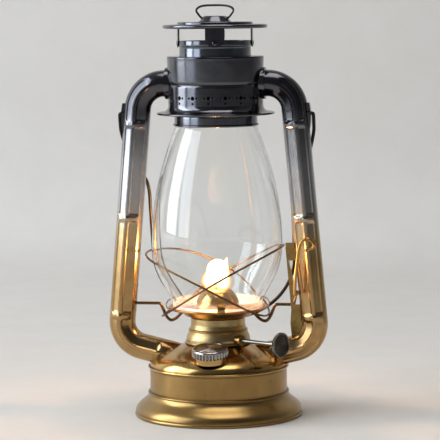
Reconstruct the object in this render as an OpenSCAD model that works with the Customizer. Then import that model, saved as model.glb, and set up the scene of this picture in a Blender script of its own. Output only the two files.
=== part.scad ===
// Hurricane lamp, in millimetres. +Z is up, the lamp rests on z = 0 and its front faces -Y.
// The cross section of every pressed piece is a path of [radius, height] points, thickened to sheet.

/* [Sheet and wire] */
// Thickness of the pressed brass sheet
sheet = 0.6; // [0.5:0.05:0.7]
// Radius of the wire that lifts the globe
lift_wire_r = 1.05; // [0.9:0.05:1.1]
// Radius of the guard rings' wire
guard_wire_r = 0.7; // [0.6:0.05:0.8]

/* [Tank] */
// Outer radius of the flared foot
foot_r = 55.6; // [53:0.2:57]
// Outer radius of the fuel drum
drum_r = 45.4; // [44.8:0.2:46]
// Height of the seam between foot and drum
seam_z = 15.5; // [15:0.5:18]
// Height of the drum's upper rim
rim_z = 32.5; // [32:0.1:33.4]
// Height of the flat top of the dome
dome_z = 47.5; // [47:0.1:48]

/* [Burner] */
// Radius of the burner's base collar
collar_r = 22; // [21.5:0.1:22.5]
// Height of the burner collar's top
collar_top_z = 65.1; // [64.5:0.1:65.4]
// Radius of the burner cone where it stands in the globe plate
cone_r = 15; // [14.5:0.1:15.2]
// Height of the burner cone
cone_top_z = 84; // [82:0.5:86]
// Width of the flat wick
wick_w = 12; // [10:0.5:12.5]
// Thickness of the flat wick
wick_t = 1.6; // [1.2:0.1:1.8]
// Height of the wick knob's shaft
shaft_z = 51.5; // [51.3:0.1:52]
// Direction of the shaft, in degrees from +X
shaft_turn = -32; // [-36:1:-28]
// Distance from the lamp's axis to the knob's outer face
knob_reach = 57.6; // [52:0.2:60]
// Radius of the wick knob
knob_r = 8.25; // [7:0.25:9]

/* [Filler] */
// Outer radius of the filler neck
neck_r = 10; // [9.5:0.1:10.2]
// Outer radius of the filler cap
cap_r = 11.8; // [11.6:0.1:12.5]
// Height of the filler cap's knurled wall
cap_h = 5.3; // [5:0.1:5.6]
// Lean of the filler cap towards the front, in degrees
cap_lean = 10; // [8:0.5:12]

/* [Globe] */
// Greatest outer radius of the glass
globe_r = 43.2; // [42:0.2:44]
// Outer radius of the glass foot
globe_foot_r = 29.8; // [29:0.1:30]
// Outer radius of the glass neck
globe_neck_r = 26.4; // [26:0.1:26.5]
// Wall thickness of the glass
glass_t = 2.2; // [1.8:0.1:2.6]
// Height of the ledge that the glass stands on
ledge_z = 71.6; // [71.2:0.1:72]
// Height of the glass rim
globe_top_z = 198.2; // [197:0.1:198.4]
// Radius of the globe plate's rolled rim
plate_r = 32; // [31.5:0.1:33]

/* [Side tubes] */
// Outer radius of the side tubes
tube_r = 8.7; // [8.4:0.1:8.8]
// Height at which the tubes enter the hood
stub_z = 219.2; // [218.8:0.1:220]
// Distance from the axis to the start of the upper elbow
elbow_x = 34.25; // [34:0.05:34.5]
// Centre line radius of the upper elbow
elbow_r = 17.8; // [17.4:0.1:18]
// Splay of the long straight stretch, in degrees
splay = 5; // [4.8:0.1:5.1]
// Height at which the lower bend starts
bend_z = 62.4; // [62.2:0.1:62.8]
// Centre line radius of the lower bend
bend_r = 17; // [16.8:0.1:17.4]
// Fall of the stretch that runs into the air chamber, in degrees
inlet_fall = 14; // [13.5:0.1:14.5]

/* [Hood] */
// Outer radius of the hood
hood_r = 31.2; // [31:0.1:31.5]
// Radius of the skirt's tip
skirt_r = 38.6; // [38:0.1:39]
// Height of the skirt's tip
skirt_z = 199.6; // [199:0.1:200]
// Height of the hood's flat top
hood_top_z = 237; // [236:0.5:238]

/* [Canopy] */
// Outer radius of the chimney sleeve
sleeve_r = 23.5; // [23.3:0.1:23.5]
// Outer radius of the disc on top
disc_r = 34.4; // [33:0.2:36]
// Height of the disc's flat top
disc_z = 257.4; // [257:0.1:258]
// Width of the four legs under the disc
leg_w = 12.5; // [10:0.5:14]
// Turns of the spring round the sleeve
spring_turns = 6; // [5:1:7]

/* [Bail] */
// Radius of the bail's wire
bail_wire_r = 1.15; // [1:0.05:1.2]
// Height of the bail's pivots
bail_z = 199.5; // [199:0.1:200]
// Lean of the hanging bail towards the back, in degrees
bail_lean = 17; // [16:0.5:19]
// Radius of the bail's round end
bail_r = 48; // [47:0.5:49]
// Distance from the pivots to the bail's far end
bail_reach = 148; // [144:1:150]

/* [Globe lift] */
// Height of the level ends of the lift wires
wire_z = 73.5; // [73.3:0.1:73.8]
// Lowest height of the dips in the lift wires
dip_z = 62.4; // [62:0.1:63]
// Travel of the globe when the lever is pulled
lift = 9; // [7:0.5:9]
// Distance from the lamp's axis to the lever's pivot
pivot_x = 52.3; // [52:0.1:52.4]
// Height of the lever's pivot
pivot_z = 81.5; // [81.2:0.1:81.8]
// Distance from the mid plane to the lever's handle
handle_y = 11; // [10.6:0.2:13]

/* [Hidden] */

// Fineness of round shapes and of the wires' cross section
$fn = 96;
wire_sides = 8;
// How much thinner a bent wire is than the round bar that carries it on
wire_step = 0.02;
// Clearances: between pieces that only pass each other, in a running fit, and round a thread
clear = 0.3;
run_gap = 0.05;
// Radius of the air chamber in the tank, and height of its floor
chamber_r = 15;
chamber_z = 24;
// Radius of the rolled beads: foot, seams
foot_bead_r = 1.6;
// How deep the foot's bead is flattened where the lamp rests on it
foot_flat = 0.3;
seam_bead_r = 0.9;
// Wick tube: space round the wick, and wall
wick_gap = 0.35;
wick_tube_wall = 0.5;
wick_tube_w = wick_w + 2 * (wick_gap + wick_tube_wall);
wick_tube_t = wick_t + 2 * (wick_gap + wick_tube_wall);
wick_tube_top_z = 78;
wick_top_z = 81;
wick_low_z = 21;
// Chimney: how far its lip stands out from the sleeve
lip_r = sleeve_r + 0.6;
// Legs under the disc: thickness, and direction of the first one, in degrees from +X
leg_t = 0.8;
leg_turn = 98;
// Raised stage on the disc, and the ring that swings in the boss on it
stage_h = 1.9;
ring_z = disc_z + 4.5;
ring_wire_r = 0.75;
// Shaft and toothed wheels beside the wick
shaft_r = 1.3;
wheel_r = 3.2;
shaft_y = -(wick_t / 2 + clear + wheel_r);
gland_r = 2.8;
// Filler cap: centre of its top face
cap_y = 8.4 - drum_r;
cap_top_z = 50;
cap_wall = 0.9;
gasket_t = 1.2;
// Side tube: bore, and the two points where its curves meet the long straight stretch
tube_bore_r = tube_r - sheet;
elbow_z = stub_z - elbow_r;
splay_top = [elbow_x + elbow_r * cos(splay), elbow_z + elbow_r * sin(splay)];
splay_low = [splay_top[0] + (splay_top[1] - bend_z) * tan(splay), bend_z];
bend_c = splay_low - bend_r * [cos(splay), sin(splay)];
bend_sweep = 90 - inlet_fall + splay;
bend_end = bend_c + bend_r * [sin(inlet_fall), -cos(inlet_fall)];
// Bracket: distance of its flange from the tube's axis, plate and place of its front web
flange_off = 14.3;
plate_t = 0.8;
web_y = -3.5;
flange_back_y = 6.5;
// Lever: place of its crank pin and plane of its crank arm
crank = [49.8, 70.8];
arm_y = 2.4;
lever_r = 1.05;

// Point i of a cubic curve through a and d, drawn towards b and c
function curve(a, b, c, d, n = 10) = [
    for (i = [0:n])
        let (t = i / n, s = 1 - t)
            a * s * s * s + 3 * b * s * s * t + 3 * c * s * t * t + d * t * t * t
];

// Points on a smooth line through the points p, n to a stretch
function smooth(p, n = 5) = [
    for (i = [0:len(p) - 2])
        for (k = [0:(i == len(p) - 2 ? n : n - 1)])
            let (a = p[max(i - 1, 0)], b = p[i], c = p[i + 1], d = p[min(i + 2, len(p) - 1)], t = k / n)
                0.5 * (2 * b + (c - a) * t + (2 * a - 5 * b + 4 * c - d) * t * t
                    + (3 * b - a - 3 * c + d) * t * t * t)
];

// A path of 2D points and the same path moved t to its left, as one closed outline
function leftward(v) = [-v[1], v[0]] / norm(v);
function moved(p, t) = [
    for (i = [0:len(p) - 1])
        p[i] + t * leftward(p[min(i + 1, len(p) - 1)] - p[max(i - 1, 0)])
];
function sheet_outline(p, t) = concat(p, [for (i = [len(p) - 1:-1:0]) moved(p, t)[i]]);
function with_y(p, y) = [for (q = p) [q[0], y, q[1]]];
function backwards(p) = [for (i = [len(p) - 1:-1:0]) p[i]];
function unit(v) = v / norm(v);

// A spun sheet whose outer face follows the path p
module spun(p, t = sheet) {
    rotate_extrude() polygon(sheet_outline(p, t));
}

// A rolled bead round the axis
module bead(r, z, wire_r) {
    rotate_extrude() translate([r, z]) circle(r = wire_r, $fn = 32);
}

// A straight round bar from a to b
module bar(a, b, r) {
    d = b - a;
    translate(a) rotate([0, acos(d[2] / norm(d)), atan2(d[1], d[0])])
        cylinder(h = norm(d), r = r, $fn = 48);
}

// A wire along the points p, which lie near one plane with the normal n
module wire(p, r, n, closed = false) {
    m = wire_sides;
    count = len(p);
    last = count - 1;
    along = [
        for (i = [0:last])
            closed ? unit(p[(i + 1) % count] - p[(i + last) % count])
                : unit(p[min(i + 1, last)] - p[max(i - 1, 0)])
    ];
    points = [
        for (i = [0:last])
            for (j = [0:m - 1])
                let (side = unit(cross(n, along[i])), up = cross(along[i], side))
                    p[i] + r * (cos(360 * j / m) * side + sin(360 * j / m) * up)
    ];
    walls = [
        for (i = [0:(closed ? last : last - 1)])
            for (j = [0:m - 1])
                let (a = i * m, b = ((i + 1) % count) * m, k = (j + 1) % m)
                    [a + j, b + j, b + k, a + k]
    ];
    ends = closed ? [] : [[for (j = [0:m - 1]) j], [for (j = [m - 1:-1:0]) last * m + j]];
    polyhedron(points, concat(walls, ends));
}

// Children turned so that their +X lies along the wick and the knob's shaft
module in_burner() {
    rotate([0, 0, shaft_turn]) children();
}

// Children placed with their origin in the cap's top face and +Z along the cap's axis
module in_filler() {
    translate([0, cap_y, cap_top_z]) rotate([cap_lean, 0, 0]) children();
}

// Children placed on the right tube's axis at the height z, +Z along the tube
module on_tube(z) {
    translate([splay_top[0] + (splay_top[1] - z) * tan(splay), 0, z]) rotate([0, -splay, 0]) children();
}

// The straight stretch of the right tube as a solid of radius r, drawn on past its upper end
module tube_straight(r) {
    d = splay_low - splay_top;
    a = splay_top - d * 0.06;
    bar([a[0], 0, a[1]], [splay_low[0], 0, splay_low[1]], r);
}

// The right tube's run as a solid of radius r, from the hood to the air chamber
module tube_run(r) {
    stub_x = hood_r - 6;
    translate([stub_x, 0, stub_z]) rotate([0, 90, 0]) cylinder(h = elbow_x - stub_x, r = r);
    translate([elbow_x, 0, elbow_z]) rotate([90, 0, 0])
        rotate_extrude(angle = 90 - splay, start = splay) translate([elbow_r, 0]) circle(r = r);
    bar([splay_top[0], 0, splay_top[1]], [splay_low[0], 0, splay_low[1]], r);
    translate([bend_c[0], 0, bend_c[1]]) rotate([90, 0, 0])
        rotate_extrude(angle = bend_sweep, start = inlet_fall - 90) translate([bend_r, 0]) circle(r = r);
    inlet = bend_end[0] - chamber_r + 4;
    bar([bend_end[0], 0, bend_end[1]],
        [bend_end[0] - inlet, 0, bend_end[1] - inlet * tan(inlet_fall)], r);
}

// Fuel tank

module foot() {
    low = [foot_r - 0.4, foot_bead_r + 0.8];
    skirt = curve(low, [foot_r, 9], [drum_r + 1.8, 9.5], [drum_r + sheet, seam_z]);
    color("goldenrod") difference() {
        union() {
            spun(skirt);
            bead(foot_r - foot_bead_r, foot_bead_r - foot_flat, foot_bead_r);
            bead(drum_r + seam_bead_r / 2, seam_z, seam_bead_r);
        }
        translate([0, 0, seam_z - 5]) cylinder(h = 10, r = drum_r);
        translate([0, 0, -5]) cylinder(h = 5, r = foot_r + 1);
    }
}

module tank_bottom() {
    r = drum_r - sheet;
    z = seam_z - 3;
    color("goldenrod") rotate_extrude()
        polygon([[0, z], [r - sheet, z], [r - sheet, z - 1], [r, z - 1], [r, z + sheet], [0, z + sheet]]);
}

module tank_drum() {
    color("goldenrod") difference() {
        translate([0, 0, seam_z - 4]) cylinder(h = rim_z - seam_z + 4, r = drum_r);
        cylinder(h = rim_z + 1, r = drum_r - sheet);
    }
}

module tank_dome() {
    shoulder = curve([drum_r, rim_z + 0.6], [drum_r - 0.8, 40.5], [33, 43.5], [collar_r - 0.5, dome_z], 14);
    color("gold") difference() {
        union() {
            spun(concat([[drum_r, rim_z]], shoulder, [[chamber_r, dome_z]]));
            difference() {
                bead(drum_r + seam_bead_r / 2, rim_z, seam_bead_r);
                cylinder(h = rim_z, r = drum_r);
                cylinder(h = rim_z + 1, r = drum_r - sheet);
            }
        }
        tube_run(tube_r);
        mirror([1, 0, 0]) tube_run(tube_r);
        in_filler() translate([0, 0, -14]) cylinder(h = 14, r = neck_r);
    }
}

module air_chamber() {
    color("goldenrod") difference() {
        translate([0, 0, chamber_z]) cylinder(h = dome_z - chamber_z, r = chamber_r);
        translate([0, 0, chamber_z + sheet]) cylinder(h = dome_z, r = chamber_r - sheet);
        tube_run(tube_bore_r);
        mirror([1, 0, 0]) tube_run(tube_bore_r);
        in_burner() translate([0, 0, chamber_z]) cube([wick_tube_w, wick_tube_t, 4], center = true);
    }
}

// Filler

module filler_neck() {
    color("goldenrod") in_filler() translate([0, 0, -9.5]) difference() {
        cylinder(h = 9.5 - cap_wall - gasket_t - run_gap, r = neck_r);
        translate([0, 0, -1]) cylinder(h = 12, r = neck_r - 0.8);
    }
}

module cap_gasket() {
    color("dimgray") in_filler() translate([0, 0, -cap_wall - gasket_t]) difference() {
        cylinder(h = gasket_t, r = neck_r);
        translate([0, 0, -1]) cylinder(h = 4, r = 5);
    }
}

module filler_cap() {
    teeth = 40;
    grooves = 0.45;
    rim = [
        for (i = [0:2 * teeth - 1])
            let (a = 180 * i / teeth, r = cap_r - grooves * (i % 2)) r * [cos(a), sin(a)]
    ];
    color("silver") in_filler() difference() {
        union() {
            translate([0, 0, -cap_h]) linear_extrude(cap_h - 0.5) polygon(rim);
            translate([0, 0, -1]) cylinder(h = 1, r = cap_r - 1);
        }
        translate([0, 0, -cap_h - 1]) cylinder(h = cap_h + 1 - cap_wall, r = neck_r + clear);
        translate([0, 0, -0.35]) difference() {
            cylinder(h = 1, r = cap_r - 2.2);
            translate([0, 0, -1]) cylinder(h = 3, r = cap_r - 3.4);
        }
    }
}

// Burner, from the dome to the flame

module burner_collar() {
    r = collar_r;
    neck = r - 4.1;
    side = [
        [r - 1, dome_z], [r, dome_z + 0.6], [r, dome_z + 1.4], [r - 0.9, dome_z + 1.9], [r - 0.8, 51],
        [r - 1.3, 53], [r - 2.2, 55], [r - 2.8, 56], [r - 2.4, 56.7], [r - 3.4, 58.3],
        [neck, 60], [neck, collar_top_z - sheet]
    ];
    color("gold") difference() {
        spun(side);
        in_burner() bar([10, shaft_y, shaft_z], [collar_r + 4, shaft_y, shaft_z], gland_r);
    }
}

module burner_floor() {
    color("goldenrod") difference() {
        translate([0, 0, dome_z]) cylinder(h = sheet, r = collar_r - 2.5);
        for (i = [0:9])
            rotate([0, 0, 36 * i + shaft_turn]) translate([11.5, 0, dome_z - 1]) cylinder(h = 3, r = 2.2);
        in_burner() translate([0, 0, dome_z]) cube([wick_tube_w, wick_tube_t, 4], center = true);
    }
}

module wick_tube() {
    low_z = chamber_z - 2;
    color("goldenrod") in_burner() difference() {
        translate([-wick_tube_w / 2, -wick_tube_t / 2, low_z])
            cube([wick_tube_w, wick_tube_t, wick_tube_top_z - low_z]);
        translate([-wick_tube_w / 2 + wick_tube_wall, -wick_tube_t / 2 + wick_tube_wall, low_z - 1])
            cube([wick_tube_w - 2 * wick_tube_wall, wick_tube_t - 2 * wick_tube_wall, 80]);
        translate([-wick_tube_w / 2 - 1, -wick_tube_t, shaft_z - wheel_r])
            cube([wick_tube_w + 2, wick_tube_t - wick_t / 2 - wick_gap, 2 * wheel_r]);
    }
}

module burner_cone() {
    z = collar_top_z - sheet;
    dome = curve([cone_r, 71], [cone_r, 76], [cone_r - 4, cone_top_z], [6, cone_top_z], 8);
    slot_w = 14;
    slot_t = 4;
    color("gold") difference() {
        union() {
            spun(concat([[cone_r, z]], dome, [[0, cone_top_z]]));
            difference() {
                translate([0, 0, z]) cylinder(h = sheet, r = collar_r - 4.1);
                cylinder(h = z + 2, r = cone_r - sheet);
            }
        }
        in_burner() translate([0, 0, cone_top_z]) cube([slot_w, slot_t, 8], center = true);
    }
}

module shaft_gland() {
    color("gold") in_burner() difference() {
        union() {
            bar([collar_r - 4, shaft_y, shaft_z], [collar_r + 2.2, shaft_y, shaft_z], gland_r);
            bar([collar_r + 0.4, shaft_y, shaft_z], [collar_r + 2.2, shaft_y, shaft_z], gland_r + 0.7);
        }
        bar([collar_r - 6, shaft_y, shaft_z], [collar_r + 6, shaft_y, shaft_z], shaft_r + run_gap);
    }
}

// Wick and the knob that winds it

module wick() {
    color("ivory") in_burner() translate([-wick_w / 2, -wick_t / 2, wick_low_z])
        cube([wick_w, wick_t, wick_top_z - wick_low_z]);
}

module wick_wheels() {
    teeth = 12;
    star = [
        for (i = [0:2 * teeth - 1])
            let (a = 180 * i / teeth, r = wheel_r - 0.7 * (i % 2)) r * [cos(a), sin(a)]
    ];
    color("silver") in_burner() for (x = [-4, 3])
        translate([x, shaft_y, shaft_z]) rotate([0, 90, 0]) difference() {
            linear_extrude(1) polygon(star);
            translate([0, 0, -1]) cylinder(h = 3, r = shaft_r);
        }
}

module knob_shaft() {
    color("silver") in_burner() bar([-6, shaft_y, shaft_z], [knob_reach - 0.8, shaft_y, shaft_z], shaft_r);
}

module wick_knob() {
    thick = 2.2;
    dish = 0.6;
    rim_w = 1.1;
    color("silver") in_burner() translate([knob_reach, shaft_y, shaft_z]) rotate([0, -90, 0]) difference() {
        union() {
            cylinder(h = thick, r = knob_r);
            cylinder(h = thick + 3, r = 2.6);
        }
        translate([0, 0, -1]) cylinder(h = 1 + dish, r = knob_r - rim_w);
        translate([0, 0, 0.8]) cylinder(h = 8, r = shaft_r);
    }
}

// Side tubes and what is soldered to them

// A straight length of tube from a to b, which laps over the curved lengths at its ends
module pipe(a, b) {
    u = unit(b - a);
    lap = 1;
    translate(a - lap * u) rotate([0, acos(u[2]), atan2(u[1], u[0])])
        linear_extrude(norm(b - a) + 2 * lap) ring_section(0);
}

// A curved length of tube round the centre c, from the angle start
module bent_pipe(c, r, start, sweep) {
    step = 0.1;
    translate([c[0], 0, c[1]]) rotate([90, 0, 0])
        rotate_extrude(angle = sweep, start = start) translate([r, 0]) ring_section(step);
}

module ring_section(step) {
    difference() {
        circle(r = tube_r - step);
        circle(r = tube_bore_r + step);
    }
}

module side_tube(slot) {
    slot_w = 2.6;
    slot_low = wire_z - 4.5;
    slot_high = wire_z + lift + 3.5;
    slot_x = splay_top[0] + (splay_top[1] - wire_z) * tan(splay) - tube_r - 3;
    inlet = bend_end[0] - chamber_r + 4;
    difference() {
        pipe([hood_r - 6, 0, stub_z], [elbow_x, 0, stub_z]);
        hood_body();
    }
    bent_pipe([elbow_x, elbow_z], elbow_r, splay, 90 - splay);
    difference() {
        pipe([splay_top[0], 0, splay_top[1]], [splay_low[0], 0, splay_low[1]]);
        if (slot)
            translate([slot_x, -slot_w / 2, slot_low]) cube([8, slot_w, slot_high - slot_low]);
    }
    bent_pipe(bend_c, bend_r, inlet_fall - 90, bend_sweep);
    difference() {
        pipe([bend_end[0], 0, bend_end[1]], [bend_end[0] - inlet, 0, bend_end[1] - inlet * tan(inlet_fall)]);
        cylinder(h = 60, r = chamber_r);
    }
}

module side_tube_left() {
    color("darkgoldenrod") mirror([1, 0, 0]) side_tube(true);
}

module side_tube_right() {
    color("darkgoldenrod") side_tube(false);
}

module tube_flanges() {
    flange_r = tube_r + 1.7;
    color("dimgray") for (m = [0, 1])
        mirror([m, 0, 0]) difference() {
            translate([hood_r - 5, 0, stub_z]) rotate([0, 90, 0]) cylinder(h = 6.8, r = flange_r);
            hood_body();
            translate([hood_r - 9, 0, stub_z]) rotate([0, 90, 0]) cylinder(h = 20, r = tube_r);
        }
}

module bail_ears() {
    ear_top = elbow_z + 5;
    ear_low = bail_z - 15;
    ear_t = 6;
    // The ear's outer edge is an arc of this radius that bulges to ear_x
    edge_r = 46;
    ear_x = 62.8;
    color("dimgray") for (m = [0, 1])
        mirror([m, 0, 0]) difference() {
            intersection() {
                translate([ear_x - edge_r, ear_t / 2, bail_z - 2.5]) rotate([90, 0, 0])
                    cylinder(h = ear_t, r = edge_r);
                translate([elbow_x + elbow_r, -ear_t, ear_low]) cube([20, 2 * ear_t, ear_top - ear_low]);
            }
            tube_straight(tube_r);
            translate([splay_top[0] + 5, 0, bail_z]) rotate([0, 90, 0])
                cylinder(h = 10, r = bail_wire_r + run_gap);
        }
}

module lift_bracket() {
    flange_x = -flange_off;
    top_z = 114.7;
    window_z = 103;
    lower_z = 74;
    left = smooth([
        [47.6, window_z - 1.1], [49.3, 96.7], [51, 88.2], [51.8, pivot_z], [50.6, 77.1], [50.8, lower_z]
    ], 3);
    // How far the web's edge lies from the tube's axis, seen from the front
    reach = sqrt(tube_r * tube_r - pow(web_y + plate_t, 2));
    corner = [for (i = [0:8]) let (a = 9 * i - 76) bend_c + (bend_r - reach) * [cos(a), sin(a)]];
    function edge(z) = [splay_top[0] + (splay_top[1] - z) * tan(splay) - reach / cos(splay), z];
    web = concat(
        corner, [edge(bend_z + 1), edge(lower_z)], backwards(left),
        [[47.6, window_z], edge(window_z), edge(top_z), [45.7, top_z], [49.3, 71], [48.6, 62]]
    );
    color("gold") difference() {
        union() {
            translate([0, web_y + plate_t, 0]) rotate([90, 0, 0]) linear_extrude(plate_t) polygon(web);
            translate([pivot_x, web_y + plate_t + 0.2, pivot_z]) rotate([90, 0, 0])
                cylinder(h = plate_t + 0.4, r = 2);
            translate([49.6, web_y - 0.5, 67.7]) cube([edge(70.3)[0] - 49.6, 0.6, 2.6]);
            on_tube(71) translate([flange_x, web_y + 0.2, 0])
                cube([plate_t, flange_back_y - web_y - 0.2, 42.3]);
        }
        translate([pivot_x, 0, pivot_z]) rotate([90, 0, 0]) cylinder(h = 10, r = lever_r + run_gap);
        translate([46, -1.35, wire_z - 4.5]) cube([5, 5.1, lift + 6]);
    }
}

// Hood

function hood_side() = concat(
    curve(
        [skirt_r, skirt_z], [hood_r + 5, skirt_z + 1], [hood_r + 0.4, skirt_z + 1], [hood_r, skirt_z + 5], 8
    ),
    [[hood_r, 217.4], [hood_r - 0.5, 218], [hood_r, 218.6], [hood_r + 0.6, hood_top_z - 0.8],
        [hood_r - 0.4, hood_top_z]]
);

module hood_body() {
    rotate_extrude() polygon(concat([[0, skirt_z]], hood_side(), [[0, hood_top_z]]));
}

module hood() {
    guide_r = sleeve_r + 0.4;
    color("dimgray") difference() {
        union() {
            spun(concat(hood_side(), [[guide_r, hood_top_z]]));
            bead(skirt_r - 0.5, skirt_z, 0.7);
        }
        for (m = [0, 1])
            mirror([m, 0, 0]) translate([hood_r - 6, 0, stub_z]) rotate([0, 90, 0])
                cylinder(h = 20, r = tube_bore_r);
    }
}

module hood_guide() {
    guide_r = sleeve_r + 0.4;
    color("dimgray") difference() {
        translate([0, 0, hood_top_z - sheet - 10]) cylinder(h = 10, r = guide_r + sheet);
        translate([0, 0, hood_top_z - 12]) cylinder(h = 14, r = guide_r);
    }
}

// Globe and the cage that lifts it

module globe_plate() {
    floor_z = ledge_z - 5.6;
    shelf_z = ledge_z - sheet;
    side = [[cone_r + 0.7, floor_z], [21.5, floor_z + 0.1], [26, shelf_z], [plate_r, shelf_z]];
    color("gold") difference() {
        union() {
            spun(side);
            bead(plate_r, shelf_z + 0.3, 0.8);
        }
        for (i = [0:19])
            rotate([0, 0, 18 * i]) translate([18.7, 0, floor_z - 1]) cylinder(h = 3, r = 1.4, $fn = 24);
    }
}

module globe_clips() {
    z = ledge_z;
    strip = [
        [plate_r + 1.14, z - 1], [plate_r + 2.2, z + 0.6], [plate_r + 2.6, z + 2.2],
        [plate_r + 1.5, z + 4.4], [plate_r - 0.4, z + 6], [plate_r - 1.1, z + 5.2]
    ];
    color("gold") for (i = [0:3])
        rotate([0, 0, 12 + 90 * i]) rotate([90, 0, 0]) translate([0, 0, -2.5])
            linear_extrude(5) polygon(sheet_outline(strip, 0.5));
}

module globe() {
    waist_z = 113;
    side = concat(
        [[globe_foot_r, ledge_z], [globe_foot_r, ledge_z + 4]],
        curve([globe_foot_r, ledge_z + 5], [globe_r - 7.2, 88], [globe_r, 96], [globe_r, waist_z], 12),
        curve([globe_r, waist_z + 1], [globe_r, 145], [globe_r - 8.2, 172], [globe_neck_r, 192], 14),
        [[globe_neck_r, 194], [globe_neck_r, globe_top_z]]
    );
    color("lightcyan", 0.4) spun(side, glass_t);
}

// A guard ring from the height low_z at x = low_x to high_z at x = high_x
// A ring bent up by arch at its front and back, and by tilt more at the back and less at the front
module guard_ring(low_x, low_z, high_x, high_z, half_y, arch, tilt) {
    count = 48;
    mid = [(low_x + high_x) / 2, 0, (low_z + high_z) / 2];
    half = [(high_x - low_x) / 2, 0, (high_z - low_z) / 2];
    p = [
        for (i = [0:count - 1])
            let (a = 360 * i / count)
                mid + cos(a) * half + [0, half_y * sin(a), arch * sin(a) * sin(a) + tilt * sin(a)]
    ];
    wire(p, guard_wire_r, unit(cross(half, [0, 1, 0])), closed = true);
}

module guard_ring_high_left() {
    color("peru") guard_ring(33.8, 66.8, -globe_r - 3.8, 107.5, globe_r + 2.1, 6.5, 2);
}

module guard_ring_high_right() {
    color("peru") guard_ring(-36.8, 65.4, globe_r + 0.8, 112.5, globe_r - 1, 2.6, 0);
}

// A lift wire from its level end at end_x to where it is soldered under the globe plate
module lift_wire(end_x) {
    bend = smooth([
        [41, wire_z], [39, wire_z - 0.2], [37.4, wire_z - 2.2], [35, dip_z + 3.1], [32, dip_z],
        [28.4, dip_z + 1], [24.4, dip_z + 4.8], [23.6, dip_z + 5.3]
    ], 4);
    bar([40.9, 0, wire_z], [end_x, 0, wire_z], lift_wire_r);
    wire(with_y(bend, 0), lift_wire_r - wire_step, [0, 1, 0]);
}

module lift_wire_left() {
    color("peru") mirror([1, 0, 0]) lift_wire(56);
}

module lift_wire_right() {
    color("peru") lift_wire(50.8);
}

module lift_lever() {
    p = pivot_x;
    z = pivot_z;
    handle = smooth([
        [p, z], [p + 0.8, 94], [p + 1.8, 102.5], [p + 2.6, 109], [p + 4.2, 115], [p + 6.4, 117.4],
        [p + 9.6, 117.8], [p + 13.4, 114.6], [p + 12, 112.2], [p + 7.6, 110.4]
    ], 4);
    color("peru") {
        wire(with_y(handle, -handle_y), lever_r, [0, 1, 0]);
        bar([p, -handle_y - 0.95, z], [p, arm_y + 0.95, z], lever_r);
        bar([p, arm_y, z], [crank[0], arm_y, crank[1]], lever_r - 0.1);
        bar([crank[0], arm_y + 0.95, crank[1]], [crank[0], -0.9, crank[1]], lever_r);
    }
}

// Chimney and canopy, which slide in the hood

module chimney() {
    foot_z = 192.2;
    wide = globe_neck_r + 0.3 + sheet;
    side = [
        [wide, foot_z], [wide, 198], [sleeve_r, 208], [sleeve_r, 242.6], [lip_r, 244], [lip_r, 247]
    ];
    color("dimgray") {
        spun(side);
        bead(wide + 0.2, foot_z, 0.8);
    }
}

module canopy_legs() {
    low_z = 242.8;
    top_z = disc_z - sheet;
    color("dimgray") intersection() {
        difference() {
            translate([0, 0, low_z]) cylinder(h = top_z - low_z, r = lip_r + leg_t);
            translate([0, 0, low_z - 1]) cylinder(h = 20, r = lip_r);
        }
        union() {
            for (i = [0:3])
                rotate([0, 0, leg_turn - 90 * i]) translate([18, -leg_w / 2, low_z]) cube([8, leg_w, 20]);
        }
    }
}

module canopy_rivets() {
    r = lip_r + leg_t;
    color("gray") difference() {
        for (i = [0:3])
            rotate([0, 0, leg_turn - 90 * i]) translate([r - 0.1, 0, 245.5]) rotate([0, 90, 0])
                cylinder(h = 0.8, r1 = 2, r2 = 1.5);
        cylinder(h = disc_z, r = r + run_gap);
    }
}

module canopy_disc() {
    rim_r = 1.3;
    stage_r = 24.4;
    top = [
        [disc_r - rim_r, disc_z], [stage_r + 0.8, disc_z], [stage_r, disc_z + stage_h], [0, disc_z + stage_h]
    ];
    color("dimgray") {
        spun(top);
        bead(disc_r - rim_r, disc_z - 1.1, rim_r);
    }
}

module canopy_boss() {
    z = disc_z + stage_h;
    color("dimgray") difference() {
        translate([0, 0, z]) cylinder(h = 3.9, r1 = 10.5, r2 = 7);
        translate([-12, 0, ring_z]) rotate([0, 90, 0]) cylinder(h = 24, r = ring_wire_r + run_gap, $fn = 32);
    }
}

module canopy_spring() {
    wire_r = 0.6;
    coil_r = sleeve_r + 2.7;
    low_z = 204.2;
    high_z = hood_top_z - sheet - clear - wire_r;
    steps = 14;
    p = [
        for (i = [0:spring_turns * steps])
            let (a = 360 * i / steps)
                [coil_r * cos(a), coil_r * sin(a), low_z + (high_z - low_z) * i / (spring_turns * steps)]
    ];
    color("gray") wire(p, wire_r, [0, 0, 1]);
}

module top_ring() {
    z = ring_z;
    side = [
        [8.7, z], [9.4, z + 0.5], [10.8, z + 2.2], [12.1, z + 4.2], [11.8, z + 6], [9.2, z + 7.5],
        [5, z + 8.1], [0, z + 8.2]
    ];
    left = [for (q = backwards(side)) if (q[0] > 0) [-q[0], q[1]]];
    color("silver") {
        wire(with_y(smooth(concat(side, left), 3), 0), ring_wire_r - wire_step, [0, 1, 0]);
        for (m = [0, 1])
            mirror([m, 0, 0]) bar([4.5, 0, z], [8.9, 0, z], ring_wire_r);
    }
}

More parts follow.
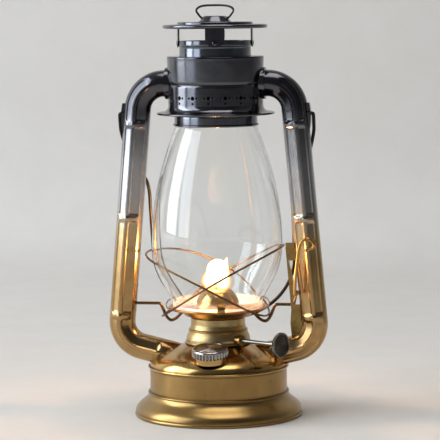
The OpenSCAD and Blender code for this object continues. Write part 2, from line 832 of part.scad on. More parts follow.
module bail() {
    arm_x = 64.3;
    shoulder = smooth([
        [arm_x, 0], [arm_x, 6], [64, 13], [61.6, 24], [59.6, 31], [54, 40], [49.6, 47],
        [bail_r, 55], [bail_r, 65]
    ], 3);
    round_end = [for (i = [0:20]) let (a = 9 * i) [bail_r * cos(a), bail_reach - bail_r + bail_r * sin(a)]];
    left = [for (q = backwards(shoulder)) [-q[0], q[1]]];
    path = [for (q = concat(shoulder, round_end, left)) [q[0], 0, -q[1]]];
    color("dimgray") translate([0, 0, bail_z]) rotate([bail_lean, 0, 0]) {
        wire(path, bail_wire_r, [0, 1, 0]);
        for (m = [0, 1])
            mirror([m, 0, 0])
                bar([splay_top[0] + 9.6, 0, 0], [arm_x + bail_wire_r - 0.1, 0, 0], bail_wire_r);
    }
}

foot();
tank_bottom();
tank_drum();
tank_dome();
air_chamber();
filler_neck();
cap_gasket();
filler_cap();
burner_collar();
burner_floor();
wick_tube();
burner_cone();
shaft_gland();
wick();
wick_wheels();
knob_shaft();
wick_knob();
side_tube_left();
side_tube_right();
tube_flanges();
bail_ears();
lift_bracket();
hood();
hood_guide();
globe_plate();
globe_clips();
globe();
guard_ring_high_left();
guard_ring_high_right();
lift_wire_left();
lift_wire_right();
lift_lever();
chimney();
canopy_legs();
canopy_rivets();
canopy_disc();
canopy_boss();
canopy_spring();
top_ring();
bail();
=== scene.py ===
"""A brass hurricane lamp with dark nickel top, clear globe and a lit wick, on a pale floor.

Lengths are written in millimetres and turned to metres where a mesh is made. +Z is up, the front
faces -Y, and the globe's axis is the Z axis.
"""

import math

import bmesh
import bpy
import numpy as np
from mathutils import Matrix, Vector


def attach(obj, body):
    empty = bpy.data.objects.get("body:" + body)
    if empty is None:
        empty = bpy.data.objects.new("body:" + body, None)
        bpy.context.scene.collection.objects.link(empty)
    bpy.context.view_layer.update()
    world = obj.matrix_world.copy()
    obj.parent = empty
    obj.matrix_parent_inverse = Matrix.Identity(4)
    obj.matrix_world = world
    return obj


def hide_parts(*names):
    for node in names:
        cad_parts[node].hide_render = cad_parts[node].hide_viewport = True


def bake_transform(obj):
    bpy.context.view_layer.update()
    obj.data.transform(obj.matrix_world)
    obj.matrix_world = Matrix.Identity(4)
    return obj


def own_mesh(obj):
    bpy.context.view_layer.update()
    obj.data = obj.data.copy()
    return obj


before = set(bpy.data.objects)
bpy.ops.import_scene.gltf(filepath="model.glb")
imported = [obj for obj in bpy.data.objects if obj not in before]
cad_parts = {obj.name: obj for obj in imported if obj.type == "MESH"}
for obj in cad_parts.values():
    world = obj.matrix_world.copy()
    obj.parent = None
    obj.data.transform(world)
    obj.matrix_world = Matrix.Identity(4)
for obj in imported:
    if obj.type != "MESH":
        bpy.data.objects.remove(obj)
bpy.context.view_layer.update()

MM = 0.001

# Driving sizes, as in the part's source
SHEET = 0.6
FOOT_R, DRUM_R, SEAM_Z, RIM_Z, DOME_Z = 55.6, 45.4, 15.5, 32.5, 47.5
COLLAR_R, COLLAR_TOP_Z, CONE_R, CONE_TOP_Z = 22.0, 65.1, 15.0, 84.0
SHAFT_Z, SHAFT_TURN, KNOB_REACH, KNOB_R = 51.5, -32.0, 57.6, 8.25
SHAFT_Y = -4.3
CAP_R, CAP_H, CAP_Y, CAP_TOP_Z, CAP_LEAN = 11.8, 5.3, -37.0, 50.0, 10.0
GLOBE_R, GLOBE_FOOT_R, GLOBE_NECK_R, GLASS_T = 43.2, 29.8, 26.4, 2.2
LEDGE_Z, GLOBE_TOP_Z, PLATE_R = 71.6, 198.2, 32.0
TUBE_R, STUB_Z, ELBOW_X, ELBOW_R = 8.7, 219.2, 34.25, 17.8
SPLAY, BEND_Z, BEND_R, INLET_FALL = math.radians(5), 62.4, 17.0, math.radians(14)
HOOD_R, SKIRT_R, SKIRT_Z, HOOD_TOP_Z = 31.2, 38.6, 199.6, 237.0
SLEEVE_R, LIP_R, DISC_R, DISC_Z, RING_Z = 23.5, 24.1, 34.4, 257.4, 261.9
BAIL_Z, BAIL_LEAN, BAIL_R, BAIL_REACH = 199.5, math.radians(17), 48.0, 148.0
WIRE_Z, DIP_Z = 73.5, 62.4
PIVOT_X, PIVOT_Z, HANDLE_Y = 52.3, 81.5, 11.0
CHIMNEY_FOOT_Z, STRIP_Z, RIVET_Z = 192.2, 242.8, 245.5
COLLAR_NECK_R = COLLAR_R - 4.1
CAP_RIDGES, KNOB_RIDGES = 32, 44
VENT_Z, LOW_VENT_Z, PLATE_HOLES_R = 210.4, 206.9, 18.7
FIRST_LEG, LEGS = 98, 4  # the direction of the first leg in degrees, and how many there are

# Finenesses
AROUND = 192  # steps round a turned piece
HOLE_EDGE = 0.18  # soft edge of a drawn hole
WIRE_SIDES = 18


# Points and outlines

def curve(a, b, c, d, n=16):
    """n + 1 points on the cubic curve from a to d that sets off towards b and comes in from c."""
    t = np.linspace(0, 1, n + 1)[:, None]
    a, b, c, d = (np.asarray(p, float) for p in (a, b, c, d))
    return a * (1 - t) ** 3 + 3 * b * (1 - t) ** 2 * t + 3 * c * (1 - t) * t**2 + d * t**3


def smooth(points, n=12):
    """A smooth line through the points: n steps to a stretch, each a cubic set by its neighbours."""
    p = np.asarray(points, float)
    padded = np.vstack([p[:1], p, p[-1:]])
    a, b, c, d = (padded[i:i + len(p) - 1, None] for i in range(4))
    t = (np.arange(n) / n)[None, :, None]
    line = 0.5 * (2 * b + (c - a) * t + (2 * a - 5 * b + 4 * c - d) * t**2 + (3 * b - a - 3 * c + d) * t**3)
    return np.vstack([line.reshape(-1, p.shape[1]), p[-1:]])


def along(points, closed=False):
    """Unit direction of the line at each of its points: from the point before to the one after."""
    if closed:
        d = np.roll(points, -1, 0) - np.roll(points, 1, 0)
    else:
        d = np.gradient(points, axis=0)
    return d / np.linalg.norm(d, axis=1)[:, None]


def sheet_loop(path, thickness):
    """Closed outline of a sheet: the path out, and the path moved by the thickness to its left, back."""
    path = np.asarray(path, float)
    d = along(path)
    moved = path + thickness * np.stack([-d[:, 1], d[:, 0]], 1)
    return np.vstack([path, moved[::-1]])


def fine(path, step=1.2):
    """The path with points added so that none lie more than step apart, and its corners kept."""
    path = np.asarray(path, float)
    out = [path[:1]]
    for a, b in zip(path[:-1], path[1:]):
        n = max(1, int(np.ceil(np.linalg.norm(b - a) / step)))
        out.append(a + (b - a) * (np.arange(1, n + 1) / n)[:, None])
    return np.vstack(out)


def with_y(path, y=0.0):
    """The [x, z] points as [x, y, z]."""
    path = np.asarray(path, float)
    return np.stack([path[:, 0], np.full(len(path), float(y)), path[:, 1]], 1)


def eased(t):
    """The share t, held between 0 and 1 and eased at both ends: t squared times (3 - 2 t)."""
    t = np.clip(t, 0, 1)
    return t * t * (3 - 2 * t)


def from_zero(angle):
    """The angle in radians brought between minus and plus half a turn."""
    return (angle + np.pi) % (2 * np.pi) - np.pi


def turned(points, degrees, axis="Z"):
    """The points turned about an axis through the origin."""
    m = np.array(Matrix.Rotation(math.radians(degrees), 3, axis))
    return points @ m.T


# Meshes

def make_piece(name, grids, body, slot, material, replaces=(), sharp=32):
    """One object from grids of points in mm, each (points [u, v, 3], wrap u, wrap v).

    Each grid's neighbours are joined by four-sided faces, points that coincide are merged so that
    poles and seams close, and the faces are turned to point outwards.
    """
    points, faces, start = [], [], 0
    for grid, wrap_u, wrap_v in grids:
        nu, nv = grid.shape[:2]
        index = start + np.arange(nu * nv).reshape(nu, nv)
        rows = np.vstack([index, index[:1]]) if wrap_u else index
        rows = np.hstack([rows, rows[:, :1]]) if wrap_v else rows
        quads = np.stack([rows[:-1, :-1], rows[1:, :-1], rows[1:, 1:], rows[:-1, 1:]], -1)
        points.append(grid.reshape(-1, 3))
        faces.append(quads.reshape(-1, 4))
        start += nu * nv
    mesh = bpy.data.meshes.new(name)
    mesh.from_pydata((np.vstack(points) * MM).tolist(), [], np.vstack(faces).tolist())
    close_and_smooth(mesh, sharp)
    return place(name, mesh, body, slot, material, replaces)


def close_and_smooth(mesh, sharp):
    """Merges coinciding points, points the faces outwards and shades smooth up to the angle sharp."""
    work = bmesh.new()
    work.from_mesh(mesh)
    bmesh.ops.remove_doubles(work, verts=work.verts, dist=2e-6)
    bmesh.ops.dissolve_degenerate(work, edges=work.edges, dist=1e-7)
    bmesh.ops.recalc_face_normals(work, faces=work.faces)
    work.to_mesh(mesh)
    work.free()
    mesh.shade_smooth()
    mesh.set_sharp_from_angle(angle=math.radians(sharp))


def show(name, data):
    """A new object with the data, in the scene."""
    thing = bpy.data.objects.new(name, data)
    bpy.context.scene.collection.objects.link(thing)
    return thing


def place(name, mesh, body, slot, material, replaces=()):
    """Shows the mesh on a body of the lamp, or on none yet, with its finish, in place of CAD nodes."""
    piece = show(name, mesh)
    mesh.materials.append(material)
    if body:
        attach(piece, body)
    if replaces:
        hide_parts(*replaces)
    return piece


def spun_grid(loop, around=AROUND, ripple=None):
    """The closed outline [radius, height] turned round Z.

    ripple(angle, radius, height) is added to the radius.
    """
    loop = np.asarray(loop, float)
    a = np.linspace(0, 2 * np.pi, around, endpoint=False)[:, None]
    r = np.broadcast_to(loop[None, :, 0], (around, len(loop)))
    z = np.broadcast_to(loop[None, :, 1], r.shape)
    if ripple:
        r = r + ripple(a, r, z)
    return np.stack([r * np.cos(a), r * np.sin(a), z], -1), True, True


def bead_grid(r, z, wire_r, around=AROUND):
    """A rolled bead: a circle of radius wire_r turned round Z at radius r, cut flat at the floor."""
    t = np.linspace(0, 2 * np.pi, 24, endpoint=False)
    height = np.maximum(z + wire_r * np.sin(t), 0)
    return spun_grid(np.stack([r + wire_r * np.cos(t), height], 1), around)


def swept_grid(path, radius, normal, closed=False, sides=20, shape=None):
    """A tube round the path: circles in the planes across it, side on from the fixed normal.

    Its ends are half balls: the last radii follow a quarter circle down to nothing. shape(station,
    angle) is added to the radius.
    """
    path = np.asarray(path, float)
    radii = np.full(len(path), float(radius))
    if not closed:
        d = along(path)
        t = np.sin(np.linspace(0, np.pi / 2, 6))[:, None]
        path = np.vstack([path[:1] - d[:1] * radius * t[:0:-1], path, path[-1:] + d[-1:] * radius * t[1:]])
        ball = np.sqrt(1 - t[1:, 0] ** 2)
        radii = np.concatenate([ball[::-1], np.ones(len(d)), ball]) * radius
    d = along(path, closed)
    side = np.cross(np.asarray(normal, float)[None], d)
    side /= np.linalg.norm(side, axis=1)[:, None]
    up = np.cross(d, side)
    a = np.linspace(0, 2 * np.pi, sides, endpoint=False)
    r = radii[:, None] + (shape(len(path), a) if shape else 0)
    round_points = np.cos(a)[None, :, None] * side[:, None] + np.sin(a)[None, :, None] * up[:, None]
    return path[:, None] + r[..., None] * round_points, closed, True


# Finishes

class Finish:
    """One node-based material, built up step by step from shader nodes."""

    def __init__(self, name):
        self.material = bpy.data.materials.new(name)
        self.material.use_nodes = True
        self.tree = self.material.node_tree
        self.shader = self.tree.nodes["Principled BSDF"]
        self.output = self.tree.nodes["Material Output"]
        self.place = self.add("ShaderNodeTexCoord").outputs["Object"]
        self.height = None

    def add(self, kind, **settings):
        node = self.tree.nodes.new(kind)
        for key, value in settings.items():
            setattr(node, key, value)
        return node

    def link(self, source, target):
        if hasattr(source, "is_output"):
            self.tree.links.new(source, target)
        else:
            target.default_value = source

    def set(self, **values):
        """Sets the shader's own sockets: words with _ for spaces."""
        for key, value in values.items():
            self.shader.inputs[key.replace("_", " ")].default_value = value

    def math(self, operation, *values):
        node = self.add("ShaderNodeMath", operation=operation)
        for value, socket in zip(values, node.inputs):
            self.link(value, socket)
        return node.outputs[0]

    def times(self, a, b):
        return self.math("MULTIPLY", a, b)

    def plus(self, a, b):
        return self.math("ADD", a, b)

    def minus(self, a, b):
        return self.math("SUBTRACT", a, b)

    def distance(self, a, b):
        """Length of the vector with the two parts a and b."""
        return self.math("SQRT", self.plus(self.times(a, a), self.times(b, b)))

    def part(self, axis):
        """The X, Y or Z of the place, in millimetres."""
        split = self.add("ShaderNodeSeparateXYZ")
        self.link(self.place, split.inputs[0])
        return self.times(split.outputs[axis], 1 / MM)

    def radius(self):
        """Distance from the Z axis in millimetres."""
        return self.distance(self.part("X"), self.part("Y"))

    def noise(self, scale, detail=4.0, roughness=0.55, stretch=(1, 1, 1), place=None, distortion=0.0):
        """Cloudy noise; scale counts its blobs in a millimetre, stretch squeezes them along X, Y and Z."""
        mapping = self.add("ShaderNodeMapping")
        self.link(place or self.place, mapping.inputs["Vector"])
        mapping.inputs["Scale"].default_value = [scale * s / MM for s in stretch]
        node = self.add("ShaderNodeTexNoise")
        self.link(mapping.outputs[0], node.inputs["Vector"])
        node.inputs["Scale"].default_value = 1.0
        node.inputs["Detail"].default_value = detail
        node.inputs["Roughness"].default_value = roughness
        node.inputs["Distortion"].default_value = distortion
        return node.outputs["Fac"]

    def turning(self, lines):
        """Fine rings left by spinning: noise of the height and the radius alone, lines to a millimetre."""
        join = self.add("ShaderNodeCombineXYZ")
        self.link(self.radius(), join.inputs[0])
        self.link(self.part("Z"), join.inputs[2])
        node = self.add("ShaderNodeTexNoise")
        self.link(join.outputs[0], node.inputs["Vector"])
        node.inputs["Scale"].default_value = lines
        node.inputs["Detail"].default_value = 3.0
        node.inputs["Roughness"].default_value = 0.6
        return node.outputs["Fac"]

    def span(self, value, low, high, to_low=0.0, to_high=1.0):
        """The value's range low to high brought to to_low to to_high and held there."""
        node = self.add("ShaderNodeMapRange", clamp=True)
        for v, socket in zip((value, low, high, to_low, to_high), node.inputs):
            self.link(v, socket)
        return node.outputs[0]

    def mix(self, share, a, b, blend="MIX"):
        node = self.add("ShaderNodeMix", data_type="RGBA", blend_type=blend)
        self.link(share, node.inputs[0])
        self.link(a, node.inputs[6])
        self.link(b, node.inputs[7])
        return node.outputs[2]

    def near(self, value, at, width):
        """1 where the value is at, falling to 0 at width away."""
        return self.span(self.math("ABSOLUTE", self.minus(value, at)), 0.0, width, 1.0, 0.0)

    def raise_by(self, value, amount):
        """Adds the value times amount, in millimetres, to the surface's height."""
        lift = self.times(value, amount * MM)
        self.height = lift if self.height is None else self.plus(self.height, lift)

    def so_far(self, name):
        """What feeds one of the shader's sockets, to be changed further."""
        return self.shader.inputs[name].links[0].from_socket

    def colour(self, value):
        self.link(value, self.shader.inputs["Base Color"])

    def tint(self, share, screen_colour):
        """Brings the base colour to another one by the share."""
        self.colour(self.mix(share, self.so_far("Base Color"), rgb(screen_colour)))

    def roughness(self, value):
        self.link(value, self.shader.inputs["Roughness"])

    def clear_where(self, share, tone):
        """Lets light of the tone straight through where the share is 1."""
        clear, blend = self.add("ShaderNodeBsdfTransparent"), self.add("ShaderNodeMixShader")
        clear.inputs["Color"].default_value = tone
        for source, socket in zip((share, self.shader.outputs[0], clear.outputs[0]), blend.inputs):
            self.link(source, socket)
        self.link(blend.outputs[0], self.output.inputs["Surface"])

    def done(self):
        if self.height is not None:
            bump = self.add("ShaderNodeBump")
            bump.inputs["Strength"].default_value = 1.0
            bump.inputs["Distance"].default_value = 1.0
            self.link(self.height, bump.inputs["Height"])
            self.link(bump.outputs[0], self.shader.inputs["Normal"])
        return self.material


def rgb(text):
    """A linear colour from its six-digit screen colour."""
    c = np.array([int(text[i:i + 2], 16) for i in (0, 2, 4)]) / 255
    linear = np.where(c <= 0.04045, c / 12.92, ((c + 0.055) / 1.055) ** 2.4)
    return (*linear.tolist(), 1.0)


def metal(name, light, dark, rough, turned=0.0, lines=2.5, dents=0.0, smudge=0.08, tarnish=None,
          stains=0.5):
    """A handled metal: two tones in clouds, smudged roughness, spinning lines, dents and fine scratches.

    tarnish is (colour, [(height, half width), ...]) in mm, for dark rings where dirt gathers at seams.
    """
    m = Finish(name)
    clouds = m.noise(0.045, 5.0, 0.6, distortion=0.4)
    flecks = m.noise(0.9, 3.0, 0.7)
    tone = m.mix(m.span(clouds, 0.5 - stains / 2, 0.5 + stains / 2), rgb(dark), rgb(light))
    tone = m.mix(m.span(flecks, 0.62, 0.8, 0.0, 0.35), tone, rgb(dark))
    if tarnish:
        dirt, heights = tarnish
        z = m.part("Z")
        for height, width in heights:
            share = m.times(m.near(z, height, width), m.span(clouds, 0.3, 0.6, 0.35, 0.9))
            tone = m.mix(share, tone, rgb(dirt))
    m.colour(tone)
    hair = m.noise(0.5, 4.0, 0.7, stretch=(0.12, 1.2, 5.0))
    smudges = m.noise(0.12, 5.0, 0.65, distortion=0.8)
    spread = m.plus(m.times(smudges, smudge), m.times(hair, smudge * 0.7))
    m.roughness(m.plus(spread, rough - smudge * 0.5))
    m.raise_by(hair, 0.004)
    if turned:
        m.raise_by(m.turning(lines), turned)
    if dents:
        m.raise_by(m.noise(0.07, 2.0, 0.5), dents)
    m.set(Metallic=1.0)
    return m


# Metals with nothing but their two tones, roughness, smudges and dents
PLAIN_METALS = {
    # bright brass of the filler neck
    "neck brass": dict(light="cdaa6c", dark="a58250", rough=0.20, smudge=0.12),
    # plain bright steel of the shaft, the toothed wheels and the spring
    "steel": dict(light="a9a6a0", dark="77736d", rough=0.26, smudge=0.10),
    # dark wire of the top ring, with a nickel shine
    "ring wire": dict(light="77746f", dark="4b4743", rough=0.22, smudge=0.10),
    # brighter brass wire of the lever, polished by fingers
    "lever wire": dict(light="d9b06a", dark="a8793c", rough=0.18, smudge=0.10, stains=0.6),
    # nickel of the canopy's legs, a little paler than the hood
    "leg nickel": dict(light="74757b", dark="504e50", rough=0.14, dents=0.06),
    # nickel of the sleeve, bluish grey mixed in clouds with a darker tone
    "sleeve nickel": dict(light="7c8088", dark="56555a", rough=0.12, turned=0.006, lines=2.0, dents=0.06),
}


def plain_metal(name):
    """One of the metals in the table above."""
    return metal(name, **PLAIN_METALS[name]).done()


def satin_brass():
    """Lightly brushed brass of the tank: olive in the shade, with dark dirt at its seams."""
    m = metal("satin brass", "ab8d5a", "87693d", 0.26, turned=0.009, lines=1.6, dents=0.06, smudge=0.10,
              stains=0.8, tarnish=("6b5230", [(SEAM_Z + 1.0, 1.4), (RIM_Z - 1.0, 1.2), (2.9, 0.8)]))
    return m.done()


def polished_brass():
    """Brighter brass of the dome and the burner, with fine rings from spinning."""
    m = metal("polished brass", "d0ad70", "ab8650", 0.17, turned=0.006, lines=2.2, dents=0.06, smudge=0.10,
              tarnish=("6b4a22", [(RIM_Z + 1.2, 0.9), (DOME_Z + 0.3, 1.2), (54.2, 1.0)]))
    return m.done()


def collar_brass():
    """Pale dull brass of the burner's collar, dark in its grooves."""
    m = metal("collar brass", "d2bb88", "a98f5e", 0.34, turned=0.010, lines=2.2, smudge=0.12,
              tarnish=("4d3a20", [(DOME_Z + 0.6, 1.0), (49.7, 0.5), (56.6, 0.5)]))
    return m.done()


def heat_toned_brass():
    """Side tubes: brass below, a steel-white fade at the height of the globe, dark nickel above."""
    m = metal("heat toned brass", "c8a775", "9b794c", 0.15, smudge=0.10, dents=0.05)
    z = m.part("Z")
    drift = m.times(m.minus(m.noise(0.06, 4.0, 0.6), 0.5), 26.0)
    level = m.plus(z, drift)
    for low, high, tone in ((98.0, 128.0, "b9a27c"), (120.0, 144.0, "aeacac"), (164.0, 202.0, "57565a")):
        m.tint(m.span(level, low, high), tone)
    return m.done()


def angle_cells(m, count):
    """Place across a repeating cell round Z, from -0.5 to 0.5: the fraction of turns times count.

    The whole number added keeps the fraction of a positive value.
    """
    turn = m.math("DIVIDE", m.math("ARCTAN2", m.part("Y"), m.part("X")), 2 * math.pi)
    return m.minus(m.math("FRACT", m.plus(m.times(turn, count), 10 * count)), 0.5)


def holes(m, count, radius, height, hole_r, across="Z"):
    """1 inside small round holes spaced evenly on a circle round Z, 0 outside."""
    side = m.times(angle_cells(m, count), 2 * math.pi * radius / count)
    up = m.minus(m.part("Z") if across == "Z" else m.radius(), height)
    return m.span(m.distance(side, up), hole_r, hole_r + HOLE_EDGE, 1.0, 0.0)


def paint_hole_shade(m, mask):
    """Makes the surface black and dull where the mask is 1: painted shade, standing in for the dark inside
    seen through a hole.
    """
    m.colour(m.mix(mask, m.so_far("Base Color"), (0.004, 0.003, 0.003, 1)))
    m.roughness(m.math("MAXIMUM", m.so_far("Roughness"), m.times(mask, 0.9)))
    m.raise_by(mask, -0.35)


def black_nickel(name="black nickel", perforated=False):
    """Dark plated steel of the hood and canopy: blue-grey in the light, brown-black in the shade."""
    m = metal(name, "6f7076", "4c4a4e", 0.12, turned=0.006, lines=1.4, dents=0.10, smudge=0.08,
              tarnish=("2a211c", [(218.8, 0.9), (200.6, 1.2), (HOOD_TOP_Z - 0.4, 0.8)]), stains=0.7)
    if perforated:
        # Painted shade: the vent holes are drawn as black dots for the dark inside of the hood seen through
        # them.
        mask = m.math("MAXIMUM", holes(m, 18, HOOD_R, VENT_Z, 1.15), holes(m, 36, HOOD_R, VENT_Z, 0.6))
        mask = m.math("MAXIMUM", mask, holes(m, 18, HOOD_R, LOW_VENT_Z, 0.6))
        paint_hole_shade(m, mask)
    return m.done()


def plate_brass():
    """Brass of the globe plate, with its ring of air holes drawn as painted shade, and a heat-browned
    floor.
    """
    m = metal("globe plate brass", "bd8f58", "8c6438", 0.26, turned=0.012, dents=0.05)
    floor = holes(m, 20, PLATE_HOLES_R, PLATE_HOLES_R, 1.4, across="radius")
    low = m.span(m.part("Z"), LEDGE_Z - 4.6, LEDGE_Z - 4.0, 1.0, 0.0)
    # Painted shade: the air holes in the plate's floor are drawn black.
    paint_hole_shade(m, m.times(floor, low))
    return m.done()


def brass_wire():
    """Coppery wire of the lever, lift wires and guard rings, browned by the heat near the burner."""
    m = metal("brass wire", "8f6e42", "5a4128", 0.22, smudge=0.12, stains=0.8)
    m.tint(m.times(m.span(m.radius(), 42.0, 25.0), 0.35), "7c4a2a")
    return m.done()


def dark_wire():
    """Blackened wire of the bail, rubbed bare in places."""
    m = metal("dark wire", "3d3833", "1f1c1a", 0.34, smudge=0.14, stains=0.9)
    m.tint(m.span(m.noise(0.25, 4.0, 0.7), 0.60, 0.70, 0.0, 0.7), "8a6a44")
    return m.done()


def gasket_rubber():
    """Matt black rubber with a faint bloom."""
    m = Finish("gasket rubber")
    m.colour(m.mix(m.noise(0.4, 4.0), rgb("1d1c1b"), rgb("33302d")))
    m.roughness(m.span(m.noise(0.8), 0.3, 0.7, 0.65, 0.85))
    m.raise_by(m.noise(2.5, 3.0), 0.03)
    return m.done()


def along_shaft(m):
    """Place along the knob's shaft, which is also the way the wick's width lies, in millimetres."""
    turn = math.radians(SHAFT_TURN)
    return m.plus(m.times(m.part("X"), math.cos(turn)), m.times(m.part("Y"), math.sin(turn)))


def cotton_wick():
    """Flat woven cotton: crossing threads 0.9 mm apart, creamy below and charred at the lit edge."""
    m = Finish("cotton wick")
    thread = 7.0  # radians to a millimetre
    warp = m.math("SINE", m.times(along_shaft(m), thread))
    weft = m.math("SINE", m.times(m.part("Z"), thread))
    weave = m.times(warp, weft)
    z = m.plus(m.part("Z"), m.times(m.noise(0.6), 2.0))
    cream = m.mix(m.span(weave, -1.0, 1.0), rgb("b7a684"), rgb("e8dcc0"))
    singed = m.mix(m.span(z, 76.5, 79.5), cream, rgb("6b4a2c"))
    m.colour(m.mix(m.span(z, 79.0, 81.0), singed, rgb("16110d")))
    m.roughness(m.span(weave, -1.0, 1.0, 0.95, 0.8))
    m.raise_by(weave, 0.12)
    m.set(Sheen_Weight=0.3)
    return m.done()


def clear_glass():
    """Clear blown glass, a little wavy, its foot ground, that lets shadow rays straight through."""
    m = Finish("clear glass")
    m.set(Base_Color=(0.985, 0.992, 0.985, 1), Roughness=0.015, IOR=1.46, Transmission_Weight=1.0)
    m.raise_by(m.noise(0.035, 2.0, 0.5, stretch=(1, 1, 0.5)), 0.22)
    ground = m.span(m.part("Z"), LEDGE_Z + 4.4, LEDGE_Z + 5.6, 1.0, 0.0)
    m.roughness(m.span(ground, 0.0, 1.0, 0.015, 0.22))
    m.link(m.span(ground, 0.0, 1.0, 1.0, 0.90), m.shader.inputs["Transmission Weight"])
    m.done()
    m.clear_where(m.add("ShaderNodeLightPath").outputs["Is Shadow Ray"], (0.97, 0.98, 0.97, 1))
    return m.material


def flame_layer(name, colour, strength, alpha):
    """A layer of the flame: glowing gas, brighter towards its middle height and flickering a little."""
    m = Finish(name)
    flicker = m.noise(0.12, 3.0, 0.6)
    z = m.part("Z")
    glow = m.times(m.span(z, 82.0, 88.0, 0.35, 1.0), m.span(flicker, 0.2, 0.8, 0.75, 1.15))
    m.link(m.times(glow, strength), m.shader.inputs["Emission Strength"])
    m.link(m.mix(m.span(z, 82.0, 90.0), rgb("ff8a30"), colour), m.shader.inputs["Emission Color"])
    m.set(Base_Color=(0.0, 0.0, 0.0, 1), Roughness=1.0, Specular_IOR_Level=0.0, Alpha=alpha)
    return m.material


# Tank, turned round Z

def tank():
    """Foot, drum and dome, each the outline of its sheet: out along one face, back along the other."""
    satin, bright = satin_brass(), polished_brass()
    skirt = curve((FOOT_R - 0.4, 2.1), (FOOT_R, 9), (DRUM_R + 1.8, 9.5), (DRUM_R + SHEET, SEAM_Z), 60)
    make_piece("foot_skin", [
        spun_grid(sheet_loop(skirt, SHEET)),
        bead_grid(FOOT_R - 1.6, 1.3, 1.6),
        bead_grid(DRUM_R + 0.45, SEAM_Z, 0.9),
    ], "frame", "satin_brass", satin, ["foot"])

    def beaten(a, r, z):
        """Shallow beats in the drum's wall: three waves round the angle that fade towards both rims."""
        fade = np.clip(np.minimum(z - SEAM_Z, RIM_Z - z) / 4, 0, 1)
        waves = np.sin(9 * a + 0.4 * z / 6) * np.sin(4 * a + 1) + 0.5 * np.sin(23 * a)
        return -0.07 * fade * (1 + waves) / 2

    wall = fine([(DRUM_R, SEAM_Z - 4), (DRUM_R, RIM_Z)], 0.6)
    make_piece("drum_skin", [spun_grid(sheet_loop(wall, SHEET), 360, beaten)],
               "frame", "satin_brass", satin, ["tank_drum"])

    shoulder = curve((DRUM_R, RIM_Z + 0.6), (DRUM_R - 0.8, 40.5), (33, 43.5), (COLLAR_R - 0.5, DOME_Z), 56)
    top = fine(np.vstack([[(DRUM_R, RIM_Z)], shoulder, [(15.0, DOME_Z)]]), 0.6)
    dome, wrap_u, wrap_v = spun_grid(sheet_loop(top, SHEET), 400)
    dome = filler_well(dome)
    make_piece("dome_skin", [(dome, wrap_u, wrap_v), bead_grid(DRUM_R + 0.45, RIM_Z + 0.1, 0.8, 400)],
               "frame", "polished_brass", bright, ["tank_dome"])


def from_filler(points):
    """Points given from the cap's top centre, +Z along the cap's axis, in the lamp's frame."""
    return turned(points, CAP_LEAN, "X") + np.array([0, CAP_Y, CAP_TOP_Z])


def filler_well(points):
    """Sinks the dome inside the filler neck: down its axis by the depth times an eased step at its wall."""
    local = turned(points - np.array([0, CAP_Y, CAP_TOP_Z]), -CAP_LEAN, "X")
    wide, edge, depth = 9.4, 0.6, 6.0
    inside = eased((wide - np.hypot(local[..., 0], local[..., 1])) / edge)
    near = (local[..., 2] > -12) & (points[..., 1] < 0)
    local[..., 2] -= depth * np.where(near, inside, 0)
    return from_filler(local)


def filler():
    """Neck and milled cap, turned round the cap's own leaning axis."""
    neck = smooth([(10, -9.5), (10, -4), (10.05, -2.9), (9.75, -2.4), (9.3, -2.25), (9.2, -2.7),
                   (9.2, -5), (9.2, -9.5)])
    neck_grid = spun_grid(neck, 160)
    make_piece("filler_neck_skin", [(from_filler(neck_grid[0]), True, True)],
               "frame", "polished_brass", plain_metal("neck brass"), ["filler_neck"])

    wall = [(10.3, -CAP_H), (11.5, -CAP_H), (CAP_R, -CAP_H + 0.3), (CAP_R, -1.9), (11.65, -1.2),
            (11.3, -0.6), (10.8, -0.18), (10.2, 0)]
    groove = [(9.8, 0), (9.6, -0.1), (9.4, -0.35), (8.7, -0.35), (8.5, -0.1), (8.3, 0)]
    rings = [(r, -0.12 + 0.12 * math.cos(2 * math.pi * r / 1.18)) for r in np.linspace(8.2, 0, 84)]
    inside = [(0, -0.9), (10.3, -0.9)]
    outline = fine(wall + groove + rings + inside, 0.35)

    def milled(a, r, z):
        """Coin edge: scallops cut into the wall as |cos|^1.6 of half their number of turns."""
        on_wall = (r > 11.2) * np.clip((z + CAP_H - 0.2) / 0.4, 0, 1) * np.clip((-1.3 - z) / 0.8, 0, 1)
        return -0.8 * on_wall * np.abs(np.cos(CAP_RIDGES / 2 * a)) ** 1.6

    cap_grid = spun_grid(outline, 640, milled)
    make_piece("filler_cap_skin", [(from_filler(cap_grid[0]), True, True)],
               "cap", "nickel", cap_nickel(), ["filler_cap"], sharp=50)


def cap_nickel():
    """Silvery plating of the filler cap, with painted shade between the ridges of its edge and in the
    groove of its top.

    Across and up are measured from the middle of the cap's top along its own leaning axes.
    """
    m = metal("cap nickel", "c9c7c4", "958f86", 0.13, dents=0.05, smudge=0.10, stains=0.8)
    lean = math.radians(CAP_LEAN)
    y, z = m.minus(m.part("Y"), CAP_Y), m.minus(m.part("Z"), CAP_TOP_Z)
    across = m.plus(m.times(y, math.cos(lean)), m.times(z, math.sin(lean)))
    up = m.minus(m.times(z, math.cos(lean)), m.times(y, math.sin(lean)))
    turn = m.math("ARCTAN2", across, m.part("X"))
    reach = m.distance(across, m.part("X"))
    ridge_valley_shade = m.math("ABSOLUTE", m.math("COSINE", m.times(turn, CAP_RIDGES / 2)))
    ridge_valley_shade = m.times(m.span(ridge_valley_shade, 0.35, 0.85), m.span(reach, CAP_R - 0.9, CAP_R - 0.6))
    ridge_valley_shade = m.times(ridge_valley_shade, m.span(up, -1.3, -2.1))
    groove = m.times(m.near(reach, 9.05, 0.9), 0.7)
    # Painted shade: the valleys between the ridges and the groove of the top are tinted near black.
    m.tint(m.math("MAXIMUM", m.times(ridge_valley_shade, 0.92), groove), "2b2420")
    return m.done()


# Burner, wick knob

def from_burner(points):
    """Points given with +X along the knob's shaft, in the lamp's frame."""
    return turned(points, SHAFT_TURN)


